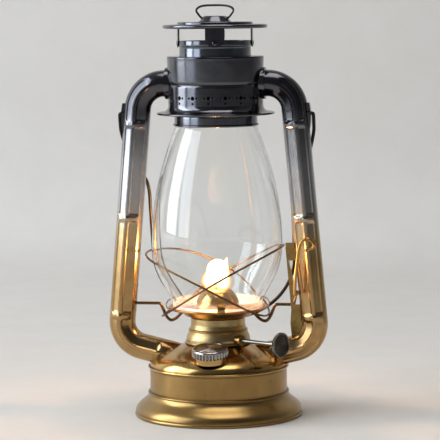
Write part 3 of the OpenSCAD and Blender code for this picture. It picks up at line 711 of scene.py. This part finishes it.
def burner():
    """Collar and cone, turned round Z.

    The rows of the cone's top go over by equal shares from the slot round the wick to a circle.
    """
    bright = polished_brass()
    r, neck = COLLAR_R, COLLAR_NECK_R
    side = smooth([
        (r - 1, DOME_Z), (r - 0.1, 48.0), (r, 48.8), (r - 0.8, 49.4), (r - 0.9, 50.2), (r - 0.9, 51.2),
        (r - 1.4, 53), (r - 2.2, 54.8), (r - 2.7, 55.8), (r - 2.4, 56.5), (r - 2.5, 57.0), (r - 3.3, 57.7),
        (r - 3.7, 59), (neck, 60.4), (neck, 62.5), (neck, COLLAR_TOP_Z - SHEET)
    ], 8)
    make_piece("burner_collar_skin", [spun_grid(sheet_loop(side, SHEET))],
               "frame", "satin_brass", collar_brass(), ["burner_collar"])

    a = np.linspace(0, 2 * np.pi, 144, endpoint=False)
    slot = np.stack([7 * np.clip(1.25 * np.cos(a), -1, 1), 2 * np.clip(3.2 * np.sin(a), -1, 1)], 1)
    ring = np.stack([np.cos(a), np.sin(a)], 1)
    down = curve((6, CONE_TOP_Z), (CONE_R - 4, CONE_TOP_Z), (CONE_R, 76), (CONE_R, 71), 28)
    foot = [(CONE_R, 70), (CONE_R, COLLAR_TOP_Z), (COLLAR_NECK_R, COLLAR_TOP_Z)]
    down = np.vstack([down, fine(foot, 0.8)])
    rows, flat_r = [], 8.2
    for share in np.linspace(0, 1, 8)[:-1]:
        flat = slot * (1 - share) + ring * flat_r * share
        rows.append(np.column_stack([flat, np.full(len(a), CONE_TOP_Z - 0.25 * share**2)]))
    for radius, z in down[down[:, 0] > flat_r]:
        rows.append(np.column_stack([ring * radius, np.full(len(a), min(z, CONE_TOP_Z - 0.25))]))
    outer = np.array(rows)
    inner = outer.copy()
    inner[..., :2] *= np.clip(1 - 0.55 / np.hypot(outer[..., 0], outer[..., 1]), 0, 1)[..., None]
    inner[..., 2] -= 0.5
    cone = from_burner(np.vstack([outer, inner[::-1]]))
    make_piece("burner_cone_skin", [(cone, True, True)], "frame", "polished_brass", bright, ["burner_cone"])


def wick_knob():
    """Milled knob with a dished face and its shaft: outlines turned round the shaft's axis."""
    face = [(r, 0.75 - 0.1 * math.cos(2 * math.pi * r / 1.4) if r < 6.4 else 0.6)
            for r in np.linspace(0, 6.9, 60)]
    rim = [(7.15, 0.3), (7.5, 0.05), (7.8, 0.0), (8.1, 0.15), (KNOB_R, 0.5), (KNOB_R, 1.8), (8.05, 2.1),
           (7.6, 2.2)]
    back = [(3.0, 2.2), (2.6, 2.5), (2.5, 4.9), (2.2, 5.2), (0, 5.2)]
    outline = fine(face + rim + back, 0.3)

    def milled(a, r, t):
        """Coin edge, as on the cap."""
        on_edge = (r > 7.9) * np.clip((t - 0.2) / 0.3, 0, 1) * np.clip((2.1 - t) / 0.3, 0, 1)
        return -0.35 * on_edge * np.abs(np.cos(KNOB_RIDGES / 2 * a)) ** 1.6

    grid = spun_grid(outline, 440, milled)[0]
    placed = np.stack([KNOB_REACH - grid[..., 2], SHAFT_Y + grid[..., 0], SHAFT_Z + grid[..., 1]], -1)
    make_piece("wick_knob_skin", [(from_burner(placed), True, True)],
               "winder", "nickel", knob_metal(), ["wick_knob"], sharp=50)

    shaft = [(-4.7, SHAFT_Y, SHAFT_Z), (20, SHAFT_Y, SHAFT_Z), (KNOB_REACH - 2.1, SHAFT_Y, SHAFT_Z)]
    rod = swept_grid(from_burner(fine(shaft, 2.0)), 1.3, (0, 0, 1), sides=24)
    make_piece("knob_shaft_skin", [rod], "winder", "steel", plain_metal("steel"), ["knob_shaft"])


def knob_metal():
    """Nickel of the knob, with painted shade darkening its dish; the rim keeps the plain metal."""
    m = metal("knob nickel", "8d8578", "574f45", 0.24, dents=0.04, smudge=0.14, stains=0.8)
    dish_shade = m.span(along_shaft(m), KNOB_REACH - 0.45, KNOB_REACH - 0.15, 1.0, 0.0)
    # Painted shade: the dish of the face is tinted dark.
    m.tint(m.times(dish_shade, 0.85), "37312b")
    return m.done()


# Side tubes

def tube_run():
    """Centre line of the right tube, and the path length at each of its points.

    It runs out of the hood level, round a quarter circle, down a straight that leans outwards, round a
    second circle and in to the air chamber along a slope.
    """
    a = np.linspace(np.pi / 2, SPLAY, 44)
    elbow = np.stack([ELBOW_X + ELBOW_R * np.cos(a), STUB_Z - ELBOW_R + ELBOW_R * np.sin(a)], 1)
    low = np.array([elbow[-1, 0] + (elbow[-1, 1] - BEND_Z) * math.tan(SPLAY), BEND_Z])
    centre = low - BEND_R * np.array([math.cos(SPLAY), math.sin(SPLAY)])
    a = np.linspace(SPLAY, INLET_FALL - np.pi / 2, 40)
    bend = centre + BEND_R * np.stack([np.cos(a), np.sin(a)], 1)
    inlet = bend[-1, 0] - 15.5
    end = bend[-1] - inlet * np.array([1, math.tan(INLET_FALL)])
    line = np.vstack([[(HOOD_R - 3, STUB_Z)], elbow, fine([elbow[-1], low], 0.8)[1:], bend[1:], [end]])
    line = fine(line, 1.0)
    keep = np.append(True, np.linalg.norm(np.diff(line, axis=0), axis=1) > 1e-6)
    line = line[keep]
    length = np.append(0, np.cumsum(np.linalg.norm(np.diff(line, axis=0), axis=1)))
    return with_y(line), length


def panel(length, angle, start, end, centre, half):
    """A pressed flat panel: the wall follows the chord over its width, sunk 0.5 mm inside a rounded edge.

    d is the distance inside a rectangle with 2.4 mm corners, drawn on the unrolled wall; the chord
    fades over 2 mm at the panel's ends and the sinking over 0.9 mm all round.
    """
    off = from_zero(angle[None] - centre)
    ends = np.minimum(length - start, end - length)[:, None]
    sides = TUBE_R * (half - np.abs(off))
    corner = 2.4
    d = corner - np.hypot(np.maximum(corner - ends, 0), np.maximum(corner - sides, 0))
    inside = (ends > 0) & (sides > 0)
    chord = TUBE_R * (1 - math.cos(half) / np.cos(np.clip(off, -half, half)))
    return -np.where(inside, chord * eased(ends / 2) + 0.5 * eased(d / 0.9), 0)


def side_tubes():
    """Both tubes: a circle with pressed panels carried along the run, outside and bore in one closed skin.

    Two panels run down the front and two down the back with a round ridge between them, broken at
    three heights where the tube is left round, with a dot in each break that rises by the root of 1
    less its distance squared. The left tube has a pocket where the lift wire enters it.
    """
    path, length = tube_run()
    heat = heat_toned_brass()
    outside = path[:, 0] > 40
    break_heights, half_break, dot_r, dot_h, dot_way = (192.6, 130.5, 65.2), 1.2, 1.5, 0.4, math.radians(95)
    height = np.where(outside, path[:, 2], np.inf)
    marks = [length[np.argmin(np.abs(height - h))] for h in break_heights]
    near_marks = [mark + np.arange(-7, 7.1, 0.55) for mark in marks]
    stations = np.concatenate([np.arange(0, length[-1], 1.5), [length[-1]], *near_marks])
    stations = np.unique(np.round(stations, 2))
    stations = stations[np.append(True, np.diff(stations) > 0.2)]
    path = np.stack([np.interp(stations, length, path[:, k]) for k in range(3)], 1)
    length, z = stations, path[:, 2]
    outside = path[:, 0] > 40
    starts = [length[0] + 14] + [mark + half_break for mark in marks]
    stops = [mark - half_break for mark in marks] + [length[-1] - 24]
    panels = ((64.5, 24), (120.5, 19))  # middle and half width in degrees from the outer side
    edges = [sign * (centre + way * half) for sign in (1, -1) for centre, half in panels for way in (1, -1)]
    close = np.linspace(-1.5, 7.5, 8)
    fine_turns = np.concatenate([edge + close * (-1 if abs(edge) == 88.5 else 1) for edge in edges])
    angle = np.concatenate([np.arange(-180, 180, 4.0), edges, fine_turns])
    angle = np.radians(np.unique(np.round(angle, 1)))
    d = along(path)
    side = np.cross(np.array([[0, 1.0, 0]]), d)
    up = np.cross(d, side)
    ring = np.cos(angle)[None, :, None] * side[:, None] + np.sin(angle)[None, :, None] * up[:, None]

    for name, mirror in (("left", -1), ("right", 1)):
        press = np.zeros((len(path), len(angle)))
        for sign in (1, -1):
            for start, end in zip(starts, stops):
                for centre, half in panels:
                    middle, reach = sign * math.radians(centre), math.radians(half)
                    press += panel(length, angle, start, end, middle, reach)
            for mark in marks:
                beside = TUBE_R * from_zero(angle[None] - sign * dot_way)
                gap = np.hypot(length[:, None] - mark, beside)
                press += dot_h * np.sqrt(np.clip(1 - (gap / dot_r) ** 2, 0, 1))
        if name == "left":
            off = np.abs(angle[None]) * TUBE_R
            low, high, half_wide, deep, edge = 68.6, 86.4, 1.9, 2.4, 0.5
            tall = np.clip((z[:, None] - low) / edge, 0, 1) * np.clip((high - z[:, None]) / edge, 0, 1)
            press -= deep * np.clip((half_wide - off) / edge, 0, 1) * tall * outside[:, None]
        outer = path[:, None] + (TUBE_R + press)[..., None] * ring
        bore = path[:, None] + (TUBE_R - SHEET + press)[..., None] * ring
        skin = np.vstack([outer, bore[::-1]]) * np.array([mirror, 1, 1])
        make_piece(f"side_tube_{name}_skin", [(skin, True, True)], "frame", "heat_toned_brass", heat,
                   [f"side_tube_{name}"], sharp=40)


# Hood, chimney and canopy

def hood_parts():
    """Hood, sleeve, disc and boss, each the outline of its sheet turned round Z."""
    dark = black_nickel()
    flare = curve((SKIRT_R, SKIRT_Z), (HOOD_R + 5, SKIRT_Z + 1), (HOOD_R + 0.4, SKIRT_Z + 1),
                  (HOOD_R, SKIRT_Z + 5), 26)
    upper = smooth([(HOOD_R, 217.6), (HOOD_R - 0.35, 218.3), (HOOD_R - 0.55, 218.8), (HOOD_R - 0.35, 219.3),
                    (HOOD_R + 0.03, 220.0)], 5)
    shoulder = smooth([(HOOD_R + 0.55, HOOD_TOP_Z - 2), (HOOD_R + 0.6, HOOD_TOP_Z - 0.8),
                       (HOOD_R + 0.3, HOOD_TOP_Z - 0.15), (HOOD_R - 0.4, HOOD_TOP_Z),
                       (HOOD_R - 2, HOOD_TOP_Z)], 5)
    side = fine(np.vstack([flare, upper, shoulder, [(SLEEVE_R + 0.4, HOOD_TOP_Z)]]), 0.9)
    make_piece("hood_skin", [spun_grid(sheet_loop(side, SHEET)), bead_grid(SKIRT_R - 0.5, SKIRT_Z, 0.7)],
               "frame", "black_nickel", black_nickel("hood nickel", True), ["hood"])

    wide = GLOBE_NECK_R + 0.3 + SHEET
    pipe = fine(np.vstack([
        [(wide, CHIMNEY_FOOT_Z), (wide, 197)],
        curve((wide, 197.6), (wide, 201), (SLEEVE_R, 203.5), (SLEEVE_R, 208), 14),
        [(SLEEVE_R, 242)],
        smooth([(SLEEVE_R, 242.4), (SLEEVE_R + 0.2, 243.2), (SLEEVE_R + 0.5, 243.8), (LIP_R, 244.6),
                (LIP_R, 247)], 4),
    ]), 0.9)
    foot = bead_grid(wide + 0.2, CHIMNEY_FOOT_Z + 0.05, 0.8)
    make_piece("chimney_skin", [spun_grid(sheet_loop(pipe, SHEET)), foot],
               "canopy", "black_nickel", plain_metal("sleeve nickel"), ["chimney"])

    stage = DISC_Z + 1.9
    bead_r = 1.3
    edge = DISC_R - bead_r
    top = fine(np.vstack([
        [(edge, DISC_Z), (25.6, DISC_Z)],
        smooth([(25.4, DISC_Z), (24.9, DISC_Z + 0.3), (24.6, DISC_Z + 1.5), (24.0, stage), (23, stage)], 5),
        [(9.2, stage), (0, stage)],
    ]), 0.9)
    rim = bead_grid(edge, DISC_Z - 1.1, bead_r)
    make_piece("canopy_disc_skin", [spun_grid(sheet_loop(top, SHEET)), rim],
               "canopy", "black_nickel", dark, ["canopy_disc"])

    knob = np.array([(0, 0), (5, 0), (10.4, 0), (10.4, 0.4), (9.7, 1.1), (8.9, 2.0), (8.1, 2.9), (7.3, 3.6),
                     (6.4, 3.88), (5.2, 3.9), (0, 3.9)]) + (0, stage)
    make_piece("canopy_boss_skin", [spun_grid(smooth(knob, 6), 96)],
               "canopy", "black_nickel", dark, ["canopy_boss"])

    ways = [FIRST_LEG - 360 / LEGS * i for i in range(LEGS)]
    strips = [(turned(leg_strip(), way), False, True) for way in ways]
    make_piece("canopy_legs_skin", strips, "canopy", "black_nickel", plain_metal("leg nickel"),
               ["canopy_legs"])

    rivet = smooth([(0, 0.0), (1.5, 0.0), (1.6, 0.1), (1.45, 0.3), (1.1, 0.42), (0.6, 0.48), (0, 0.5)], 5)
    head = spun_grid(rivet, 48)[0]
    head = np.stack([LIP_R + 0.75 + head[..., 2], head[..., 0], RIVET_Z + head[..., 1]], -1)
    heads = [(turned(head, way), True, True) for way in ways]
    make_piece("canopy_rivets_skin", heads, "canopy", "black_nickel", dark, ["canopy_rivets"])


def leg_strip():
    """A leg of the canopy: a strip bent to the sleeve's radius, its lower end a half circle.

    The half width at the height h over the lower end is the half circle's, then the leg's own.
    """
    low, high, half = STRIP_Z, DISC_Z - SHEET, 6.25
    round_end = half * (1 - np.cos(np.linspace(0, np.pi / 2, 14)))
    h = np.concatenate([round_end, np.linspace(half, high - low, 10)[1:]])
    wide = np.where(h < half, np.sqrt(np.clip(half**2 - (half - h) ** 2, 0, None)), half)
    wide, h = np.append(wide, 0), np.append(h, high - low)
    t = np.linspace(-1, 1, 17)
    across = np.concatenate([t, t[::-1]])
    radius = np.concatenate([np.full(17, LIP_R + 0.8), np.full(17, LIP_R)])
    turn = wide[:, None] * across[None] / (LIP_R + 0.4)
    level = low + h[:, None] + np.zeros_like(turn)
    return np.stack([radius * np.cos(turn), radius * np.sin(turn), level], -1)


def spring():
    """The canopy's spring: a wire along a screw line round the sleeve, six turns up to the hood's top.

    It is made as an upper and a lower half of three turns each, neither set on a body; its top stays under
    the hood.
    """
    low, high, turns = 204.2, HOOD_TOP_Z - 1.5, 3
    middle = (low + high) / 2
    halves = (("upper", "frame", "cage", high, middle), ("lower", "cage", "canopy", middle, low))
    for name, above, below, top, foot in halves:
        a = np.linspace(0, 2 * np.pi * turns, 64 * turns)
        radius = SLEEVE_R + 2.7
        line = np.stack([radius * np.cos(a), radius * np.sin(a), foot + (top - foot) * a / a[-1]], 1)
        coil = make_piece(f"canopy_spring_{name}", [swept_grid(line, 0.6, (0, 0, 1), sides=12)],
                          None, "steel", plain_metal("steel"), ["canopy_spring"])
        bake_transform(coil)


def top_ring():
    """The canopy's ring: a round wire along a smooth loop, one half mirrored, through the boss."""
    half = np.array([(3.0, 0), (6.0, 0), (8.5, 0), (9.4, 0.5), (10.8, 2.2), (12.1, 4.2), (11.8, 6),
                     (9.2, 7.5), (5, 8.1), (0, 8.2)]) + (0, RING_Z)
    loop = np.vstack([half, half[-2::-1] * np.array([-1, 1])])
    make_piece("top_ring_skin", [swept_grid(with_y(smooth(loop, 8)), 0.75, (0, 1, 0), sides=WIRE_SIDES)],
               "ring", "nickel", plain_metal("ring wire"), ["top_ring"])


# Globe and the cage that lifts it

def globe_parts():
    """Glass and globe plate, turned round Z, with guard rings and lift wires.

    A guard ring is an ellipse, cos a times half its long axis and sin a times its half width, raised
    by arch sin^2 a + tilt sin a. A lift wire is a smooth line in the plane y = 0.
    """
    side = np.vstack([
        smooth([(GLOBE_FOOT_R - 0.5, LEDGE_Z), (GLOBE_FOOT_R - 0.1, LEDGE_Z + 0.4),
                (GLOBE_FOOT_R, LEDGE_Z + 1.2), (GLOBE_FOOT_R, LEDGE_Z + 4)], 4),
        curve((GLOBE_FOOT_R, LEDGE_Z + 5), (36, 88), (GLOBE_R, 96), (GLOBE_R, 113), 40)[:-1],
        curve((GLOBE_R, 113), (GLOBE_R, 145), (35, 172), (GLOBE_NECK_R, 192), 56),
        smooth([(GLOBE_NECK_R, 193.5), (GLOBE_NECK_R, 197), (GLOBE_NECK_R - 0.1, GLOBE_TOP_Z - 0.4),
                (GLOBE_NECK_R - 0.6, GLOBE_TOP_Z)], 4),
    ])

    def blown(a, r, z):
        """Unevenness of blown glass: three slow waves round the angle and up the height, always inwards."""
        fade = np.clip(np.minimum(z - LEDGE_Z - 6, GLOBE_TOP_Z - 10 - z) / 20, 0, 1)
        return -0.10 * fade * (1 + np.sin(3 * a + z / 17) * np.sin(2 * a + 1) * np.sin(z / 23 + 0.5))

    make_piece("globe_glass", [spun_grid(sheet_loop(side, GLASS_T), 240, blown)],
               "cage", "clear_glass", clear_glass(), ["globe"], sharp=60)

    low, shelf = LEDGE_Z - 5.6, LEDGE_Z - SHEET
    pan = fine(np.vstack([
        [(CONE_R + 0.7, low + 0.05), (20.6, low + 0.05)],
        smooth([(21.5, low + 0.15), (22.4, low + 0.8), (24.9, shelf - 0.9), (26.2, shelf - 0.1),
                (27.2, shelf)], 5),
        [(PLATE_R, shelf)],
    ]), 0.8)
    rim = bead_grid(PLATE_R, shelf + 0.3, 0.8)
    make_piece("globe_plate_skin", [spun_grid(sheet_loop(pan, SHEET)), rim],
               "cage", "polished_brass", plate_brass(), ["globe_plate"])

    wire = brass_wire()
    rings = (("left", (33.8, 66.8), (-47, 107.5), 45.3, 6.5, 2.0),
             ("right", (-36.8, 65.4), (44, 112.5), 42.2, 2.6, 0.0))
    for name, low_end, high_end, half_y, arch, tilt in rings:
        low_end, high_end = np.array([low_end[0], 0, low_end[1]]), np.array([high_end[0], 0, high_end[1]])
        mid, half = (low_end + high_end) / 2, (high_end - low_end) / 2
        a = np.linspace(0, 2 * np.pi, 300, endpoint=False)[:, None]
        rise = arch * np.sin(a) ** 2 + tilt * np.sin(a)
        path = mid + np.cos(a) * half + np.hstack([0 * a, half_y * np.sin(a), rise])
        normal = np.cross(half, [0, 1, 0])
        hoop = swept_grid(path, 0.7, normal / np.linalg.norm(normal), True, 16)
        make_piece(f"guard_ring_high_{name}_skin", [hoop], "cage", "brass_wire", wire,
                   [f"guard_ring_high_{name}"])

    for name, end, mirror in (("left", 56.0, -1), ("right", 50.8, 1)):
        line = smooth([(end - 1.05, WIRE_Z), (47, WIRE_Z), (42.5, WIRE_Z), (41, WIRE_Z), (39, WIRE_Z - 0.2),
                       (37.4, WIRE_Z - 2.2), (35, DIP_Z + 3.1), (32, DIP_Z), (28.4, DIP_Z + 1),
                       (24.6, DIP_Z + 4.6), (24.2, DIP_Z + 4.9)], 8)
        path = with_y(line) * np.array([mirror, 1, 1])
        make_piece(f"lift_wire_{name}_skin", [swept_grid(path, 1.03, (0, 1, 0), sides=WIRE_SIDES)],
                   "cage", "brass_wire", wire, [f"lift_wire_{name}"])


def lever():
    """Lift lever: one wire bent into a handle, a pivot through the bracket and a crank."""
    p, z, r, arm, tip_x, tip_z = PIVOT_X, PIVOT_Z, 1.03, 2.4, 49.8, 70.8
    handle = smooth([(p, z), (p + 0.8, 94), (p + 1.8, 102.5), (p + 2.6, 109), (p + 4.2, 115),
                     (p + 6.4, 117.4), (p + 9.6, 117.8), (p + 13.0, 114.6), (p + 12, 112.2),
                     (p + 7.9, 110.5)], 10)
    pin = fine([(p, -HANDLE_Y, z), (p, arm, z)], 1.0)
    crank = fine([(p, arm, z), (tip_x, arm, tip_z)], 1.0)
    tip = fine([(tip_x, arm, tip_z), (tip_x, 0.1, tip_z)], 0.8)
    bends = ((with_y(handle, -HANDLE_Y), r, (0, 1, 0)), (pin, r, (0, 0, 1)), (crank, 0.93, (0, 1, 0)),
             (tip, r, (0, 0, 1)))
    grids = [swept_grid(*bend, sides=WIRE_SIDES) for bend in bends]
    make_piece("lift_lever_skin", grids, "lever", "brass_wire", plain_metal("lever wire"), ["lift_lever"])


def bail():
    """Carrying bail: a wire in one plane, a half circle between two smooth shoulders, leant back."""
    shoulder = smooth([(61.9, 0), (62.9, 0), (63.9, 0.35), (64.25, 1.6), (64.3, 6), (64, 13), (61.6, 24),
                       (59.6, 31), (54, 40), (49.6, 47), (BAIL_R, 55), (BAIL_R, 65)], 6)
    a = np.linspace(0, np.pi, 72)
    centre = BAIL_REACH - BAIL_R
    arc = np.stack([BAIL_R * np.cos(a), centre + BAIL_R * np.sin(a)], 1)
    path = np.vstack([shoulder, arc, shoulder[::-1] * np.array([-1, 1])])
    path = fine(path, 3.0)
    path = np.stack([path[:, 0], 0 * path[:, 0], -path[:, 1]], 1)
    path = turned(path, math.degrees(BAIL_LEAN), "X") + np.array([0, 0, BAIL_Z])
    normal = turned(np.array([0, 1.0, 0]), math.degrees(BAIL_LEAN), "X")
    make_piece("bail_skin", [swept_grid(path, 1.15, normal, sides=WIRE_SIDES)],
               "bail", "dark_wire", dark_wire(), ["bail"])


# Flame

def flame():
    """Two lobes of flame on the wick: ovals stacked along a bent line, each layer inside the next.

    An oval's radius across the wick's width and thickness is the lobe's own times sin(pi t^p), with t
    the share of its height. The flame sinks to a low one in the cone as the wick is wound down.
    """
    # each lobe's place across the wick, foot, tip, half widths, the power p and its lean
    lobes = ((-6.0, 81.8, 97.0, 7.8, 4.2, 0.70, -0.6), (3.8, 82.0, 105.4, 7.0, 3.6, 0.52, 4.4))
    # The outermost layer is a painted glow: a faint glowing shell round the flame, standing in for the halo
    # of its light.
    # each layer's share of the lobe's width, its colour, strength and cover
    layers = (("flame_core", 0.66, "fff0c0", 15.0, 1.0), ("flame_body", 0.84, "ffcc70", 5.0, 0.45),
              ("flame_edge", 1.0, "ff9436", 3.0, 0.22), ("flame_painted_halo", 1.32, "ff8a30", 1.0, 0.06))
    a = np.linspace(0, 2 * np.pi, 40, endpoint=False)
    for name, share, colour, strength, alpha in layers:
        grids = []
        for x, low, high, wide, thick, power, bend in lobes:
            t = np.linspace(0, 1, 44)[:, None]
            round_out = np.sin(np.pi * t**power) ** 0.9
            middle = (low + high) / 2
            z = middle + (low + (high - low) * t - middle) * (0.86 + 0.14 * share) - 6 * max(share - 1, 0)
            across = x + bend * t**2 + wide * share * round_out * np.cos(a)[None]
            deep = thick * share * round_out * np.sin(a)[None]
            grids.append((from_burner(np.stack([across, deep, z + 0 * across], -1)), False, True))
        layer = make_piece(name, grids, "wick", "cotton_wick",
                           flame_layer(name.replace("_", " "), rgb(colour), strength, alpha))
        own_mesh(layer)


# Pieces kept from the CAD

def dress(name, material):
    """Gives a CAD node its finish."""
    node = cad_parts[name]
    node.data.materials.clear()
    node.data.materials.append(material)


def dress_kept_nodes():
    """Finishes of the nodes whose solids are shown as they are."""
    for material, names in (
        (satin_brass(), ("tank_bottom", "air_chamber", "burner_floor", "wick_tube")),
        (bracket_brass(), ("shaft_gland", "globe_clips", "lift_bracket")),
        (plain_metal("steel"), ("wick_wheels",)),
        (black_nickel("ear nickel"), ("tube_flanges", "bail_ears", "hood_guide")),
        (gasket_rubber(), ("cap_gasket",)),
        (cotton_wick(), ("wick",)),
    ):
        for name in names:
            dress(name, material)


def bracket_brass():
    """Cut and folded brass of the bracket, gland and clips: olive-brown with brushed streaks."""
    m = metal("bracket brass", "b5955c", "7f6538", 0.24, dents=0.06, smudge=0.12, stains=0.7)
    m.raise_by(m.noise(0.8, 3.0, 0.6, stretch=(1.5, 1.5, 0.08)), 0.010)
    return m.done()


# Setting, lights and camera

def floor_and_wall():
    """A pale floor that sweeps up into a pale wall behind the lamp: a bent line drawn sideways.

    Its back is clear, so that a camera behind the wall sees the lamp through it.
    """
    line = np.vstack([[(-6000.0, 0.0), (700.0, 0.0)], curve((705, 0), (860, 0), (900, 40), (900, 200), 24),
                      [(900.0, 1500.0)]])
    x = np.linspace(-6000, 6000, 3)
    grid = np.stack([x[:, None] + 0 * line[None, :, 0], line[None, :, 0] + 0 * x[:, None],
                     line[None, :, 1] + 0 * x[:, None]], -1)
    n = len(line)
    index = np.arange(3 * n).reshape(3, n)
    faces = np.stack([index[:-1, :-1], index[1:, :-1], index[1:, 1:], index[:-1, 1:]], -1).reshape(-1, 4)
    mesh = bpy.data.meshes.new("floor")
    mesh.from_pydata((grid.reshape(-1, 3) * MM).tolist(), [], faces.tolist())
    mesh.shade_smooth()
    m = Finish("pale floor")
    m.colour(m.mix(m.noise(0.02, 5.0, 0.6), rgb("cdc9c3"), rgb("d8d4cf")))
    m.roughness(m.span(m.noise(0.05), 0.3, 0.7, 0.55, 0.7))
    m.raise_by(m.noise(0.6, 4.0), 0.05)
    m.set(Specular_IOR_Level=0.1)
    m.done()
    m.clear_where(m.add("ShaderNodeNewGeometry").outputs["Backfacing"], (1, 1, 1, 1))
    mesh.materials.append(m.material)
    show("floor", mesh)


def soft_box(name, place, towards, width, height, power, colour):
    """A rectangular lamp at place, facing towards, sizes in metres and power in watts."""
    data = bpy.data.lights.new(name, "AREA")
    data.shape = "RECTANGLE"
    data.size, data.size_y = width, height
    data.energy = power
    data.color = colour
    lamp = show(name, data)
    lamp.location = place
    lamp.rotation_euler = (Vector(towards) - Vector(place)).to_track_quat("-Z", "Y").to_euler()


def lights():
    """A tall cold window on the left, its dimmer reveal, a weak light above and the flame's own."""
    middle = (0, 0, 0.13)
    soft_box("window", (-2.78, -0.41, 1.33), middle, 1.31, 2.82, 84.0, (0.86, 0.93, 1.0))
    soft_box("window_reveal", (-2.25, -1.67, 1.33), middle, 1.22, 2.82, 42.0, (0.78, 0.88, 1.0))
    soft_box("above", (0.1, -0.2, 1.5), middle, 0.9, 0.9, 8.0, (1.0, 0.98, 0.95))
    data = bpy.data.lights.new("flame_light", "POINT")
    data.energy, data.shadow_soft_size, data.color = 0.9, 0.007, (1.0, 0.52, 0.22)
    show("flame_light", data).location = (0, 0, 0.096)


def room():
    """The room round the stage: dim in front and on the right, paler behind and on the left."""
    world = bpy.data.worlds.new("room")
    bpy.context.scene.world = world
    world.use_nodes = True
    tree = world.node_tree
    ground = tree.nodes["Background"]
    place = tree.nodes.new("ShaderNodeTexCoord")
    split = tree.nodes.new("ShaderNodeSeparateXYZ")
    tree.links.new(place.outputs["Generated"], split.inputs[0])
    share, spread = [], 0.8
    for axis, low, high in (("Y", 0.10, 0.42), ("X", 1.25, 0.55)):
        step = tree.nodes.new("ShaderNodeMapRange")
        step.interpolation_type = "SMOOTHSTEP"
        step.inputs[1].default_value, step.inputs[2].default_value = -spread, spread
        step.inputs[3].default_value, step.inputs[4].default_value = low, high
        tree.links.new(split.outputs[axis], step.inputs[0])
        share.append(step.outputs[0])
    both = tree.nodes.new("ShaderNodeMath")
    both.operation = "MULTIPLY"
    for value, socket in zip(share, both.inputs):
        tree.links.new(value, socket)
    tree.links.new(both.outputs[0], ground.inputs["Strength"])
    ground.inputs["Color"].default_value = (0.93, 0.96, 1.0, 1)


def camera():
    """The photograph's view: level with the lamp's top, 1.42 m away and a little right of the front."""
    data = bpy.data.cameras.new("camera")
    eye = show("camera", data)
    turn, away, level, roll = math.radians(8.5), 1.42, 0.270, math.radians(-0.6)
    data.sensor_width = 36.0
    data.lens = 177.1
    eye.location = (away * math.sin(turn), -away * math.cos(turn), level)
    aim = Vector((0.002 * math.cos(turn), 0.002 * math.sin(turn), 0.1291))
    look = (aim - eye.location).to_track_quat("-Z", "Y")
    eye.rotation_euler = (look.to_matrix() @ Matrix.Rotation(roll, 3, "Z")).to_euler()
    bpy.context.scene.camera = eye


def build():
    tank()
    filler()
    burner()
    wick_knob()
    side_tubes()
    hood_parts()
    spring()
    top_ring()
    globe_parts()
    lever()
    bail()
    flame()
    dress_kept_nodes()
    floor_and_wall()
    lights()
    room()
    camera()
    bpy.context.scene.view_settings.view_transform = "Standard"


build()
